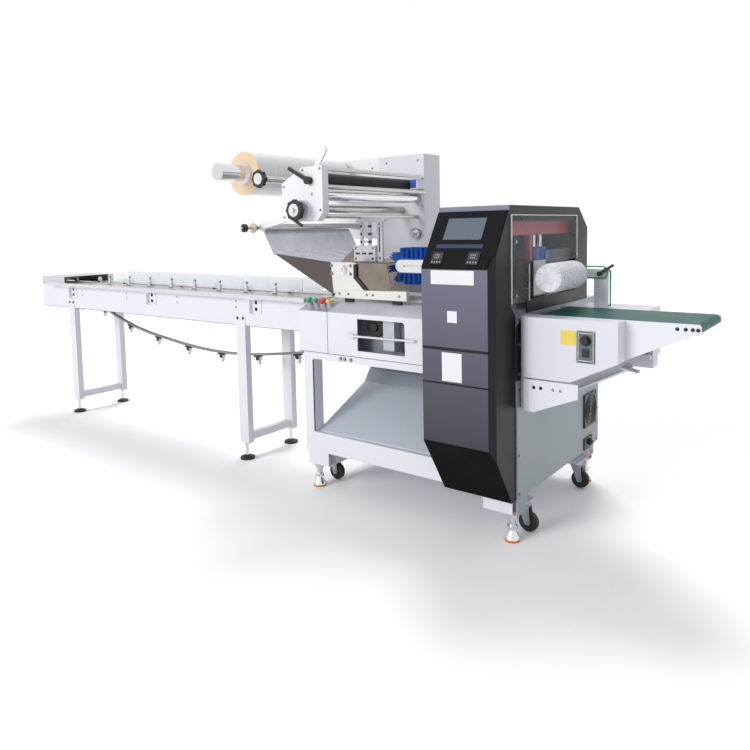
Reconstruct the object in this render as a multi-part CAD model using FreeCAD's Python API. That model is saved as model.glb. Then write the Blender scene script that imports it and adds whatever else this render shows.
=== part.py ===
import FreeCAD, Part
import os
from math import atan2, cos, hypot, pi, radians, sin

os.makedirs("parts", exist_ok=True)
V = FreeCAD.Vector

# ---- Frame of the machine: X along the product flow, Y from operator side to rear, Z up ----
FRONT_MOST = -282.0            # free end of the film shaft
FRAME_LEFT = 2479.0
FRAME_RIGHT = 3487.0
FRAME_FRONT = -93.0
FRAME_REAR = 721.0
POST = 56.0
BASE_BOTTOM = 173.0
BASE_TOP = 259.0
RAIL_BOTTOM = 583.0
RAIL_TOP = 614.0
TABLE_TOP = 830.0
SHEET = 4.0
PANEL_TOP = 792.0
LINE_Y = 170.0                 # middle of the product line
OUTFEED_END = 4064.0
RUN_FIT = 0.05                 # radial clearance of a shaft in its bearing
SEAT = 0.3                     # gap between a curved piece and its neighbour

# ---- Infeed conveyor ----
BEAM_BOTTOM = 677.0
BEAM_FLANGE = 30.0
BEAM_WALL = 3.0
INFEED_WIDTH = 2 * LINE_Y
DECK_T = 3.0
CHAIN_SLOT = 40.0
TAIL_COVER_LENGTH = 300.0
TAIL_COVER_H = 40.0
LEG_X = (365.0, 1967.0)
LEG_W = 65.0
LEG_D = 34.0
LEG_BOTTOM = 84.0
LEG_LAP = 60.0
LEG_TIE_H = 36.0
PAD_R = 36.5
PAD_H = 18.0
BRACKET_X = (400.0, 1238.0, 2085.0)
BRACKET_W = 70.0
BRACKET_H = 88.0
EDGE_RAIL_Y = -45.0
EDGE_RAIL_T = 15.0
EDGE_RAIL_H = 20.0
EDGE_RAIL_X = (130.0, 2440.0)
GUIDE_H = 60.0
GUIDE_T = 5.0
GUIDE_GAP = 70.0               # half width between the two product guides
GUIDE_X = (640.0, 2300.0)
GUIDE_PITCH = 208.0

# ---- Lug chain: one sagging loop with pushers ----
CHAIN_T = 12.0
CHAIN_W = 18.0
CHAIN_WHEEL_R = 52.0
CHAIN_TOP = 812.0
CHAIN_TAIL_X = 110.0
CHAIN_DRIVE_X = 2640.0
SAG = ((450, 676), (545, 637), (675, 598), (809, 564), (955, 538), (1104, 520), (1250, 503), (1398, 490),
       (1540, 484), (1676, 484), (1820, 491), (1959, 505), (2085, 520), (2202, 537), (2340, 562), (2480, 600))
LUG_PITCH = 287.0
LUG_H = 48.0
LUG_L = 16.0

# ---- Film head ----
COLUMN_X = (2425.0, 2695.0)
COLUMN_Y = (558.0, 702.0)
COLUMN_TOP = 1500.0
REAR_HEAD_X = 2030.0
REAR_HEAD_BOTTOM = 1090.0
REAR_HEAD_D = 90.0
HEAD_Y = (-200.0, -163.0)
HEAD_OUTLINE = ((2480, 1205), (2480, 1335), (2595, 1397), (2706, 1397), (2706, 1208), (2672, 1176), (2510, 1176))
REEL = (2171.0, 1403.0)
REEL_R = 98.0
REEL_Y = (-130.0, 510.0)
REEL_SHAFT_R = 38.0
REEL_JOURNAL_R = 20.0
FEED = (2613.0, 1352.0)
FEED_R = 26.0
NIP = (2650.0, 1285.0)
NIP_R = 25.0
IDLER = (2560.0, 1232.0)
IDLER_R = 19.0
JOURNAL_R = 8.0
TOP_RAIL = (2685.0, 1380.0)
SENSOR_ROD = (2692.0, 1314.0)
HANGER_ROD = (2654.0, 1196.0)
ROD_R = 9.0
WEB_ROLL = (2290.0, 1155.0)
WEB_ROLL_R = 17.0
WHEEL_TUBE = (2352.0, 1364.0)

# ---- Forming box ----
TUBE_Y = (0.0, 340.0)
TUBE_X = (2705.0, 2832.0)
TUBE_TOP = 1000.0
THROAT_X = 2562.0
SHOULDER_TOP = (2343.0, 1041.0)
SHOULDER_TOE = (2575.0, 858.0)
SHOULDER_SPREAD = 130.0

# ---- Control cabinet and end-seal cover ----
CAB_LEFT = 3213.0
CAB_FRONT = -263.0
DOOR_T = 3.0
CAB_TOP = 1211.0
CAB_BACK = -135.0
CAB_BEVEL = ((-124.0, 171.0), (CAB_FRONT, 388.0))
SLOPE_FOOT = (CAB_FRONT - DOOR_T, 999.0)
SLOPE_HEAD = (-141.0, 1194.0)
SEAM_Z = (724.0, 603.0)
COVER_REAR = (497.0, 593.0)
COVER_REAR_Z = 1129.0
COVER_T = 5.0
WINDOW_Y = (-125.0, 461.0)
WINDOW_Z = (877.0, 1175.0)

# ---- Outfeed ----
OUT_LEFT = 3505.0
OUT_FRONT = -101.0
OUT_PLATE_Y = (-30.0, 260.0)
OUT_PLATE_T = 6.0
OUT_STEP = 3840.0
BELT_T = 3.0
NOSE = (4046.0, 813.0)
NOSE_R = 14.0
DRIVE = (3548.0, 799.0)
DRIVE_R = 28.0
BRUSH = (3577.0, 957.0)
BRUSH_R = 52.0
BRUSH_Y = (-20.0, 288.0)
BRUSH_SHAFT_R = 8.0

# ---- Feet and casters ----
PLATE_BOTTOM = 114.0
FOOT_XY = ((2513.0, -49.0), (3451.0, -49.0), (2513.0, 677.0), (3451.0, 677.0))
CASTER_SETBACK = 101.0
CASTER_TRAIL = 18.0
WHEEL_R = 37.5
WHEEL_W = 22.0
WHEEL_LIFT = 3.0
AXLE_R = 5.0

nodes = {}


def box(x0, x1, y0, y1, z0, z1):
    return Part.makeBox(x1 - x0, y1 - y0, z1 - z0, V(x0, y0, z0))


def rod(start, end, radius):
    a, b = V(*start), V(*end)
    return Part.makeCylinder(radius, (b - a).Length, a, b - a)


def rod_y(xz, y0, y1, radius):
    return rod((xz[0], y0, xz[1]), (xz[0], y1, xz[1]), radius)


def rod_z(xy, z0, z1, radius):
    return rod((xy[0], xy[1], z0), (xy[0], xy[1], z1), radius)


def prism_x(points, x0, x1):
    ring = [V(x0, y, z) for y, z in points]
    return Part.Face(Part.makePolygon(ring + ring[:1])).extrude(V(x1 - x0, 0, 0))


def prism_y(points, y0, y1):
    ring = [V(x, y0, z) for x, z in points]
    return Part.Face(Part.makePolygon(ring + ring[:1])).extrude(V(0, y1 - y0, 0))


def prism_z(points, z0, z1):
    ring = [V(x, y, z0) for x, y in points]
    return Part.Face(Part.makePolygon(ring + ring[:1])).extrude(V(0, 0, z1 - z0))


def fuse(*shapes):
    return shapes[0].multiFuse(list(shapes[1:])).removeSplitter()


def add(name, *solids):
    nodes[name] = solids[0] if len(solids) == 1 else Part.makeCompound(list(solids))


def arc(centre, radius, start_deg, end_deg, steps):
    points = []
    for i in range(steps + 1):
        angle = radians(start_deg + (end_deg - start_deg) * i / steps)
        points.append((centre[0] + radius * cos(angle), centre[1] + radius * sin(angle)))
    return points


def hull_of_two_circles(c0, r0, c1, r1, steps=14):
    """Outline of a belt running round a left circle and a right circle."""
    heading = atan2(c1[1] - c0[1], c1[0] - c0[0]) * 180 / pi
    reach = hypot(c1[0] - c0[0], c1[1] - c0[1])
    lean = atan2(r0 - r1, (reach ** 2 - (r0 - r1) ** 2) ** 0.5) * 180 / pi
    left = arc(c0, r0, heading + 90 - lean, heading + 270 + lean, steps)
    right = arc(c1, r1, heading - 90 + lean, heading + 90 - lean, steps)
    return left + right


def offset_loop(points, distance):
    """Closed outline moved sideways by a distance, to the right of its travel."""
    moved = []
    for i, (x, z) in enumerate(points):
        px, pz = points[i - 1]
        nx, nz = points[(i + 1) % len(points)]
        run = hypot(nx - px, nz - pz)
        moved.append((x + distance * (nz - pz) / run, z - distance * (nx - px) / run))
    return moved


def band(outline, thickness, y0, y1):
    outer = prism_y(offset_loop(outline, thickness / 2), y0, y1)
    return outer.cut(prism_y(offset_loop(outline, -thickness / 2), y0 - 1, y1 + 1))


def along(points, distance):
    """Point and heading at a distance along a closed outline."""
    for i, (x, z) in enumerate(points):
        nx, nz = points[(i + 1) % len(points)]
        run = hypot(nx - x, nz - z)
        if distance <= run:
            share = distance / run
            return x + share * (nx - x), z + share * (nz - z), (nx - x) / run, (nz - z) / run
        distance -= run
    return points[0][0], points[0][1], 1.0, 0.0


def length_of(points):
    return sum(hypot(points[i][0] - points[i - 1][0], points[i][1] - points[i - 1][1]) for i in range(len(points)))


# ======================= Infeed conveyor =======================
def beam(y_face, inward):
    outer = y_face + inward * BEAM_FLANGE
    web = box(0, FRAME_LEFT, min(y_face, y_face + inward * BEAM_WALL), max(y_face, y_face + inward * BEAM_WALL),
              BEAM_BOTTOM, TABLE_TOP)
    low = box(0, FRAME_LEFT, min(y_face, outer), max(y_face, outer), BEAM_BOTTOM, BEAM_BOTTOM + BEAM_WALL)
    top = box(0, FRAME_LEFT, min(y_face, outer), max(y_face, outer), TABLE_TOP - BEAM_WALL, TABLE_TOP)
    return fuse(web, low, top)



deck_edge = LINE_Y - CHAIN_SLOT / 2
add("infeed_deck",
    box(0, FRAME_LEFT, 0, deck_edge, TABLE_TOP, TABLE_TOP + DECK_T),
    box(0, FRAME_LEFT, INFEED_WIDTH - deck_edge, INFEED_WIDTH, TABLE_TOP, TABLE_TOP + DECK_T))

TIE_X = (300.0, 900.0, 1500.0, 2100.0)
TIE_Z = 735.0
tie_bars = [rod_y((x, TIE_Z), BEAM_WALL, INFEED_WIDTH - BEAM_WALL, 12.0) for x in TIE_X]

deck_top = TABLE_TOP + DECK_T
cover_top = deck_top + TAIL_COVER_H
shell = box(0, TAIL_COVER_LENGTH, 0, INFEED_WIDTH, deck_top, cover_top)
hollow = box(20, TAIL_COVER_LENGTH + 1, 4, INFEED_WIDTH - 4, deck_top - 1, cover_top - 4)
add("tail_cover", shell.cut(hollow))



def leg_frame(x_mid):
    x0, x1 = x_mid - LEG_W / 2, x_mid + LEG_W / 2
    lap = BEAM_BOTTOM + LEG_LAP
    pieces = []
    for face, way in ((0.0, 1), (INFEED_WIDTH, -1)):
        outer = face - way * BEAM_WALL
        inner = outer + way * LEG_D
        pieces.append(box(x0, x1, min(outer, inner), max(outer, inner), LEG_BOTTOM, BEAM_BOTTOM))
        flange = ((x0, BEAM_BOTTOM), (x1, BEAM_BOTTOM), (x1, lap - 16), (x1 - 16, lap), (x0, lap))
        pieces.append(prism_y(flange, min(outer, face), max(outer, face)))
    pieces.append(box(x0 + 15, x1 - 15, 0, INFEED_WIDTH, LEG_BOTTOM + 8, LEG_BOTTOM + 8 + LEG_TIE_H))
    return fuse(*pieces)


add("leg_frames", leg_frame(LEG_X[0]), leg_frame(LEG_X[1]))
foot_y = (-BEAM_WALL + LEG_D / 2, INFEED_WIDTH + BEAM_WALL - LEG_D / 2)
infeed_feet = [(x, y) for x in LEG_X for y in foot_y]
foot_pads = [fuse(rod_z(p, 0, PAD_H * 0.5, PAD_R), Part.makeCone(PAD_R, 15.0, PAD_H * 0.5, V(p[0], p[1], PAD_H * 0.5)))
             for p in infeed_feet]
foot_stems = [fuse(rod_z(p, PAD_H, LEG_BOTTOM, 8.0), rod_z(p, LEG_BOTTOM - 12, LEG_BOTTOM, 13.0)) for p in infeed_feet]

rail_low = TABLE_TOP - 12.0
edge_rail = box(EDGE_RAIL_X[0], EDGE_RAIL_X[1], EDGE_RAIL_Y, EDGE_RAIL_Y + EDGE_RAIL_T, rail_low, rail_low + EDGE_RAIL_H)


def edge_bracket(x_mid):
    x0, x1 = x_mid - BRACKET_W / 2, x_mid + BRACKET_W / 2
    low = TABLE_TOP - BRACKET_H
    plate = box(x0, x1, -SHEET, 0, low, TABLE_TOP)
    web = prism_x(((-SHEET, low), (-SHEET, rail_low), (EDGE_RAIL_Y, rail_low), (EDGE_RAIL_Y, rail_low - 8)), x0, x0 + SHEET)
    shelf = box(x0, x1, EDGE_RAIL_Y, 0, rail_low - SHEET, rail_low)
    return fuse(plate, web, shelf)


add("infeed_beams", fuse(beam(0.0, 1), *[edge_bracket(x) for x in BRACKET_X]), beam(INFEED_WIDTH, -1))

guide_low = deck_top + 12.0
guides, guide_clips = [], []
for side in (-1, 1):
    face = LINE_Y + side * GUIDE_GAP
    back = face + side * GUIDE_T
    guides.append(box(GUIDE_X[0], GUIDE_X[1], min(face, back), max(face, back), guide_low, guide_low + GUIDE_H))
    count = int((GUIDE_X[1] - GUIDE_X[0]) // GUIDE_PITCH)
    for i in range(count + 1):
        x = GUIDE_X[0] + 20 + i * GUIDE_PITCH
        low, high = sorted((back, back + side * 10))
        foot_low, foot_high = sorted((back, back + side * 34))
        guide_clips.append(fuse(box(x, x + 14, low, high, deck_top, guide_low + 22),
                                box(x, x + 14, foot_low, foot_high, deck_top, deck_top + 6)))
add("product_guides", *guides)

# ---- Chain loop ----
wheel_z = CHAIN_TOP - CHAIN_WHEEL_R - CHAIN_T / 2
ride_r = CHAIN_WHEEL_R + CHAIN_T / 2 + SEAT
loop = arc((CHAIN_TAIL_X, wheel_z), ride_r, 90, 262, 20)
loop += [(float(x), float(z)) for x, z in SAG]
loop += arc((CHAIN_DRIVE_X, wheel_z), ride_r, -82, 90, 20)
add("lug_chain", band(loop, CHAIN_T, LINE_Y - CHAIN_W / 2, LINE_Y + CHAIN_W / 2))
lugs = []
lug_count = int(length_of(loop) // LUG_PITCH)
for i in range(lug_count):
    x, z, dx, dz = along(loop, (i + 0.35) * length_of(loop) / lug_count)
    base, tip = CHAIN_T / 2 + SEAT, CHAIN_T / 2 + LUG_H
    nx, nz = dz, -dx
    corners = ((-LUG_L, base), (LUG_L, base), (LUG_L * 0.4, tip), (-LUG_L * 0.5, tip))
    outline = [(x + s * dx + h * nx, z + s * dz + h * nz) for s, h in corners]
    lugs.append(prism_y(outline, LINE_Y - 8, LINE_Y + 8))
add("chain_pushers", *lugs)
tail_shaft = fuse(rod_y((CHAIN_TAIL_X, wheel_z), BEAM_WALL, INFEED_WIDTH - BEAM_WALL, 12.0),
                  rod_y((CHAIN_TAIL_X, wheel_z), LINE_Y - 7, LINE_Y + 7, CHAIN_WHEEL_R))
drive_shaft = fuse(rod_y((CHAIN_DRIVE_X, wheel_z), -8, FRAME_REAR - SHEET, 14.0),
                   rod_y((CHAIN_DRIVE_X, wheel_z), LINE_Y - 7, LINE_Y + 7, CHAIN_WHEEL_R))
add("infeed_fittings", edge_rail, tail_shaft, drive_shaft, *tie_bars, *guide_clips)

# ======================= Main frame =======================
front_in, rear_in = FRAME_FRONT + POST, FRAME_REAR - POST
left_in, right_in = FRAME_LEFT + POST, FRAME_RIGHT - POST
frame_bars = [box(FRAME_LEFT, FRAME_RIGHT, y, y + POST, z0, z1)
              for y in (FRAME_FRONT, rear_in) for z0, z1 in ((BASE_BOTTOM, BASE_TOP), (RAIL_BOTTOM, RAIL_TOP))]
frame_bars += [box(FRAME_LEFT, left_in, front_in, rear_in, BASE_BOTTOM, BASE_TOP),
               box(right_in, FRAME_RIGHT, front_in, rear_in, BASE_BOTTOM, BASE_TOP),
               box(right_in, FRAME_RIGHT, front_in, rear_in, RAIL_BOTTOM, RAIL_TOP)]
frame_bars += [box(x, x + POST, y, y + POST, BASE_TOP, RAIL_BOTTOM)
               for x in (FRAME_LEFT, right_in) for y in (FRAME_FRONT, rear_in)]

RIDGE = (262.0, 417.0)
PAN_T = 3.0
add("drip_pan", prism_x(((front_in - 30, BASE_TOP), (front_in - 30, BASE_TOP + PAN_T), RIDGE,
                         (RIDGE[0], RIDGE[1] - PAN_T), (front_in - 20, BASE_TOP)), left_in, right_in))
add("rear_enclosure", prism_x((RIDGE, (300, 470), (345, 500), (345, RAIL_BOTTOM), (rear_in, RAIL_BOTTOM),
                               (rear_in, BASE_TOP - 40), (RIDGE[0], BASE_TOP - 40)), left_in, right_in))

panel_profile = ((FRAME_FRONT, RAIL_TOP), (FRAME_FRONT, PANEL_TOP), (0, TABLE_TOP), (0, TABLE_TOP - SHEET * 1.1),
                 (FRAME_FRONT + SHEET, PANEL_TOP - SHEET * 0.7), (FRAME_FRONT + SHEET, RAIL_TOP))
BUTTON_BOX_X = (2455.0, 2620.0)
WINDOW_HOLE = ((2782, 640), (3019, 640), (3019, 764), (3010, 773), (2782, 773))
front_panel = prism_x(panel_profile, BUTTON_BOX_X[1], FRAME_RIGHT)
front_panel = front_panel.cut(prism_y(WINDOW_HOLE, FRAME_FRONT - 1, FRAME_FRONT + SHEET + 1))
button_box = prism_x(((FRAME_FRONT, RAIL_TOP), (FRAME_FRONT, PANEL_TOP), (-SHEET, TABLE_TOP - 1.6),
                      (-SHEET, RAIL_TOP)), *BUTTON_BOX_X)
table = box(FRAME_LEFT, FRAME_RIGHT, 0, FRAME_REAR, TABLE_TOP - SHEET, TABLE_TOP)
chain_slot = box(FRAME_LEFT - 1, CHAIN_DRIVE_X + 80, deck_edge, INFEED_WIDTH - deck_edge, TABLE_TOP - 9, TABLE_TOP + 1)
JAW_SLOT = (3388.0, 3478.0, 210.0, 528.0)
jaw_slot = box(JAW_SLOT[0], JAW_SLOT[1], JAW_SLOT[2], JAW_SLOT[3], TABLE_TOP - 9, TABLE_TOP + 1)
add("table_top", table.cut(chain_slot).cut(jaw_slot))
left_panel = box(FRAME_LEFT, FRAME_LEFT + SHEET, 0, FRAME_REAR - SHEET - SEAT, RAIL_TOP, TABLE_TOP - SHEET)
left_panel = left_panel.cut(box(FRAME_LEFT - 1, FRAME_LEFT + SHEET + 1, LINE_Y - 30, LINE_Y + 30,
                                RAIL_TOP + 20, TABLE_TOP))
rear_panel = box(FRAME_LEFT, FRAME_RIGHT - SEAT, FRAME_REAR - SHEET, FRAME_REAR, RAIL_TOP, TABLE_TOP - SHEET)
END_T = 6.0
end_outline = [(FRAME_FRONT, PLATE_BOTTOM), (FRAME_FRONT + 62, PLATE_BOTTOM), (FRAME_FRONT + 90, BASE_BOTTOM),
               (FRAME_REAR - 90, BASE_BOTTOM), (FRAME_REAR - 62, PLATE_BOTTOM), (FRAME_REAR, PLATE_BOTTOM),
               (FRAME_REAR, TABLE_TOP), (0, TABLE_TOP), (FRAME_FRONT, PANEL_TOP)]
end_panel = prism_x(end_outline, FRAME_RIGHT, FRAME_RIGHT + END_T)
end_face = FRAME_RIGHT + END_T


def foot_bracket(x, y):
    x0 = x - 22 if x < 3000 else x - 94
    x1 = x0 + 116
    way = 1 if y < LINE_Y else -1
    edge = FRAME_FRONT if way > 0 else FRAME_REAR
    far = edge + way * (CASTER_SETBACK + 90)
    web_far = edge + way * SHEET
    plate = box(x0, x1, min(edge, far), max(edge, far), PLATE_BOTTOM, PLATE_BOTTOM + SHEET)
    web = prism_y(((x0, PLATE_BOTTOM), (x1, PLATE_BOTTOM), (x1, BASE_BOTTOM), (x0, BASE_BOTTOM)),
                  min(edge, web_far), max(edge, web_far))
    tail = edge + way * (POST - SHEET)
    rib = box(x0, x1, min(tail, tail + way * SHEET), max(tail, tail + way * SHEET), PLATE_BOTTOM, BASE_BOTTOM)
    return fuse(plate, web, rib)


add("main_frame", fuse(*frame_bars, *[foot_bracket(x, y) for x, y in FOOT_XY]))
foot_stems += [fuse(rod_z(p, 24, PLATE_BOTTOM - 8, 8.0), Part.makeCone(27.0, 16.0, 18.0, V(p[0], p[1], 8.0)),
                    Part.makeCone(10.0, 17.0, 30.0, V(p[0], p[1], PLATE_BOTTOM - 38))) for p in FOOT_XY]
foot_pads += [rod_z(p, z, z + 8.0, r) for p in FOOT_XY for z, r in ((0.0, 28.0), (PLATE_BOTTOM - 8, 29.5))]
add("foot_stems", *foot_stems)
add("foot_pads", *foot_pads)

CORNERS = ("front_left", "front_right", "rear_left", "rear_right")
SWIVEL_GAP = 0.3


def caster_fork(x, y):
    wheel_x, wheel_z = x + CASTER_TRAIL, WHEEL_R + WHEEL_LIFT
    top = PLATE_BOTTOM - SWIVEL_GAP
    inner = WHEEL_W / 2 + 3
    outline = ((x - 20, top - 10), (x + 22, top - 10), (wheel_x + 12, wheel_z), (wheel_x + 8, wheel_z - 10),
               (wheel_x - 8, wheel_z - 10), (wheel_x - 12, wheel_z))
    plates = [prism_y(outline, min(y + s * inner, y + s * (inner + 4)), max(y + s * inner, y + s * (inner + 4)))
              for s in (-1, 1)]
    bridge = box(x - 20, x + 22, y - inner - 4, y + inner + 4, top - 16, top - 10)
    head = rod_z((x, y), top - 10, top, 24.0)
    axle = rod_y((wheel_x, wheel_z), y - inner - 8, y + inner + 8, AXLE_R)
    return fuse(bridge, head, axle, *plates)


def caster_wheel(x, y):
    centre = (x + CASTER_TRAIL, WHEEL_R + WHEEL_LIFT)
    tread = rod_y(centre, y - WHEEL_W / 2, y + WHEEL_W / 2, WHEEL_R)
    hub = rod_y(centre, y - WHEEL_W / 2 - 2, y + WHEEL_W / 2 + 2, 12.0)
    tyre = tread.makeFillet(4.0, [e for e in tread.Edges if abs(e.Length - 2 * pi * WHEEL_R) < 1])
    return fuse(tyre, hub).cut(rod_y(centre, y - 40, y + 40, AXLE_R + RUN_FIT))


for name, (fx, fy) in zip(CORNERS, FOOT_XY):
    cy = fy + (CASTER_SETBACK if fy < LINE_Y else -CASTER_SETBACK)
    add("caster_fork_" + name, caster_fork(fx, cy))
    add("caster_wheel_" + name, caster_wheel(fx, cy))

# ---- Push buttons on the slanted top of their box ----
slope = hypot(FRAME_FRONT, TABLE_TOP - PANEL_TOP)
up = V(0, -(TABLE_TOP - PANEL_TOP) / slope, -FRAME_FRONT / slope)
BUTTONS = ((2482.0, 15.0), (2522.0, 11.0), (2560.0, 19.0), (2598.0, 11.0))
collars, buttons = [], []
for x, radius in BUTTONS:
    seat = V(x, FRAME_FRONT / 2, (PANEL_TOP + TABLE_TOP) / 2)
    collars.append(Part.makeCylinder(14.0, 18.0, seat - up * 2, up))
    stem = Part.makeCylinder(7.0, 8.0, seat + up * 16, up)
    head = Part.makeCylinder(radius, 9.0, seat + up * 24, up)
    head = head.makeFillet(4.0, [head.Edges[0]])
    buttons.append(fuse(stem, head))
add("push_buttons", *buttons)
add("button_box", fuse(button_box, *collars))

# ---- Drive seen through the window ----
drive_plate = box(BUTTON_BOX_X[1] + 2, 3120, -18, -8, RAIL_TOP, TABLE_TOP - 20)


def toothed(centre, radius, teeth, depth, y0, y1):
    outline = []
    for i in range(teeth):
        a0 = 360.0 / teeth * i
        for share, r in ((0.0, radius - depth), (0.25, radius), (0.5, radius), (0.75, radius - depth)):
            outline += arc(centre, r, a0 + share * 360 / teeth, a0 + share * 360 / teeth, 1)[:1]
    return prism_y(outline, y0, y1)


add("window_drive", fuse(drive_plate, toothed((2835, 736), 44, 26, 5, -42, -32), rod_y((2835, 736), -50, -18, 16),
                         rod_y((2992, 668), -50, -30, 26), rod_y((2992, 668), -56, -18, 9),
                         box(2890, 2945, -60, -18, 648, 770)))
ROD_Y = FRAME_FRONT - 11.0
add("front_panel", fuse(front_panel, rod((2744, ROD_Y, 702), (3073, ROD_Y, 706), 5.0),
                        rod((2752, ROD_Y, 702), (2752, FRAME_FRONT + 1, 702), 6.0),
                        rod((3062, ROD_Y, 705.8), (3062, FRAME_FRONT + 1, 705.8), 6.0),
                        box(2728, 2772, ROD_Y - 3, ROD_Y + 3, 693, 711)))

# ======================= Film head =======================
column = box(COLUMN_X[0], COLUMN_X[1], COLUMN_Y[0], COLUMN_Y[1], TABLE_TOP, COLUMN_TOP)
head_back = box(REAR_HEAD_X, COLUMN_X[0], COLUMN_Y[0], COLUMN_Y[0] + REAR_HEAD_D, REAR_HEAD_BOTTOM, COLUMN_TOP)
head_front = prism_y(HEAD_OUTLINE, *HEAD_Y)
for centre, radius in ((FEED, JOURNAL_R), (NIP, JOURNAL_R)):
    bore = rod_y(centre, HEAD_Y[0] - 1, COLUMN_Y[0] + 40, radius + RUN_FIT)
    column = column.cut(bore)
    head_front = head_front.cut(bore)
head_back = head_back.cut(rod_y(REEL, COLUMN_Y[0] - 1, COLUMN_Y[0] + 60, REEL_JOURNAL_R + RUN_FIT))


def roller(centre, radius, inset):
    body = rod_y(centre, HEAD_Y[1] + inset, COLUMN_Y[0] - inset, radius)
    return fuse(body, rod_y(centre, HEAD_Y[0] + 5, COLUMN_Y[0] + 30, JOURNAL_R))


add("feed_roller", roller(FEED, FEED_R, 20.0))
add("nip_roller", roller(NIP, NIP_R, 14.0))
head_rods = [rod_y(IDLER, HEAD_Y[1], COLUMN_Y[0], IDLER_R), rod_y(SENSOR_ROD, HEAD_Y[1], COLUMN_Y[0], ROD_R),
             rod_y(HANGER_ROD, HEAD_Y[1], COLUMN_Y[0], ROD_R),
             box(TOP_RAIL[0] - 10, TOP_RAIL[0] + 10, HEAD_Y[1], COLUMN_Y[0], TOP_RAIL[1], TOP_RAIL[1] + 14)]
COLUMN_KNOB = (2650.0, 1115.0)
feed_bearing = box(FEED[0] + FEED_R + 6, COLUMN_X[1], COLUMN_Y[0] - 50, COLUMN_Y[0] + 1, 1328, 1374)
add("film_column", fuse(column, feed_bearing, rod_y(COLUMN_KNOB, COLUMN_Y[0] - 26, COLUMN_Y[0] + 1, 26.0)))

add("film_roll", rod_y(REEL, REEL_Y[0], REEL_Y[1], REEL_R).cut(rod_y(REEL, REEL_Y[0] - 1, REEL_Y[1] + 1, REEL_SHAFT_R + SEAT)))
add("reel_shaft", fuse(rod_y(REEL, FRONT_MOST, REEL_Y[1] + 20, REEL_SHAFT_R),
                       rod_y(REEL, REEL_Y[1] + 20, COLUMN_Y[0] + 50, REEL_JOURNAL_R),
                       *[rod_y(REEL, y, y + 9, REEL_SHAFT_R + 13) for y in (REEL_Y[0] - 9, REEL_Y[1])]))

head_rods.append(fuse(rod_y(WEB_ROLL, HEAD_Y[1] + 30, COLUMN_Y[0], WEB_ROLL_R), rod_y(WEB_ROLL, -262, HEAD_Y[1] + 30, 6.0),
                      rod_y(WEB_ROLL, -200, -192, 22.0), rod_y(WEB_ROLL, -250, -238, 18.0),
                      Part.makeCone(18.0, 7.0, 20.0, V(WEB_ROLL[0], -186, WEB_ROLL[1]), V(0, 1, 0))))
guide_arm = prism_y(((WEB_ROLL[0] + 7, 1146), (2480, 1180), (2560, 1182), (2560, 1205), (2480, 1205),
                     (WEB_ROLL[0] + 7, 1170)), HEAD_Y[1], HEAD_Y[1] + 12)
guide_arm = guide_arm.cut(rod_y(WEB_ROLL, HEAD_Y[1] - 1, HEAD_Y[1] + 13, 6.0 + SEAT))


def lobed_wheel(centre, radius, y0, y1):
    wheel = rod_y(centre, y0, y1, radius - 4)
    grips = [rod_y(p, y0, y1, 8.0) for p in arc(centre, radius - 8, 0, 315, 7)]
    return fuse(wheel, *grips)


HEAD_WHEEL = (2604.0, 1221.0)
boss = rod_y(HEAD_WHEEL, HEAD_Y[0] - 20, HEAD_Y[0] + 1, 42.0)
add("head_handwheel", fuse(lobed_wheel(HEAD_WHEEL, 44.0, -262, -244), rod_y(HEAD_WHEEL, -270, HEAD_Y[0] - 1, 10.0)))
head_rods.append(rod_y(WHEEL_TUBE, -170, COLUMN_Y[0], 14.0).cut(rod_y(WHEEL_TUBE, -171, -120, 8 + RUN_FIT)))
add("head_rods", *head_rods)
add("reel_handwheel", fuse(lobed_wheel(WHEEL_TUBE, 40.0, -214, -198), rod_y(WHEEL_TUBE, -220, -122, 8.0)))

STAR = (2640.0, 1340.0)
levers = [fuse(rod_y(STAR, -222, HEAD_Y[0], 16.0),
               prism_y(((2640, 1332), (2646, 1345), (2542, 1402), (2534, 1390)), -220, -208)),
          fuse(rod_y((2545, 1190), -216, HEAD_Y[0], 7.0),
               prism_y(((2540, 1186), (2548, 1194), (2605, 1162), (2598, 1154)), -214, -206))]
blade = prism_y(((2655, 1396), (2678, 1396), (2722, 1455), (2712, 1470), (2698, 1472)), -190, -180)
head_front = fuse(head_front, boss, blade, guide_arm)
head_front = head_front.cut(rod_y(HEAD_WHEEL, HEAD_Y[0] - 30, HEAD_Y[0], 10 + RUN_FIT))
add("head_plates", head_front, head_back)

# ======================= Forming box =======================
half = (TUBE_Y[1] - TUBE_Y[0]) / 2
mid = (TUBE_Y[0] + TUBE_Y[1]) / 2


def sheet(corners, thick):
    """Thin flat polygon in space, thickened along the product flow."""
    ring = [V(*c) for c in corners]
    return Part.Face(Part.makePolygon(ring + ring[:1])).extrude(V(thick, 0, 0))


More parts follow.
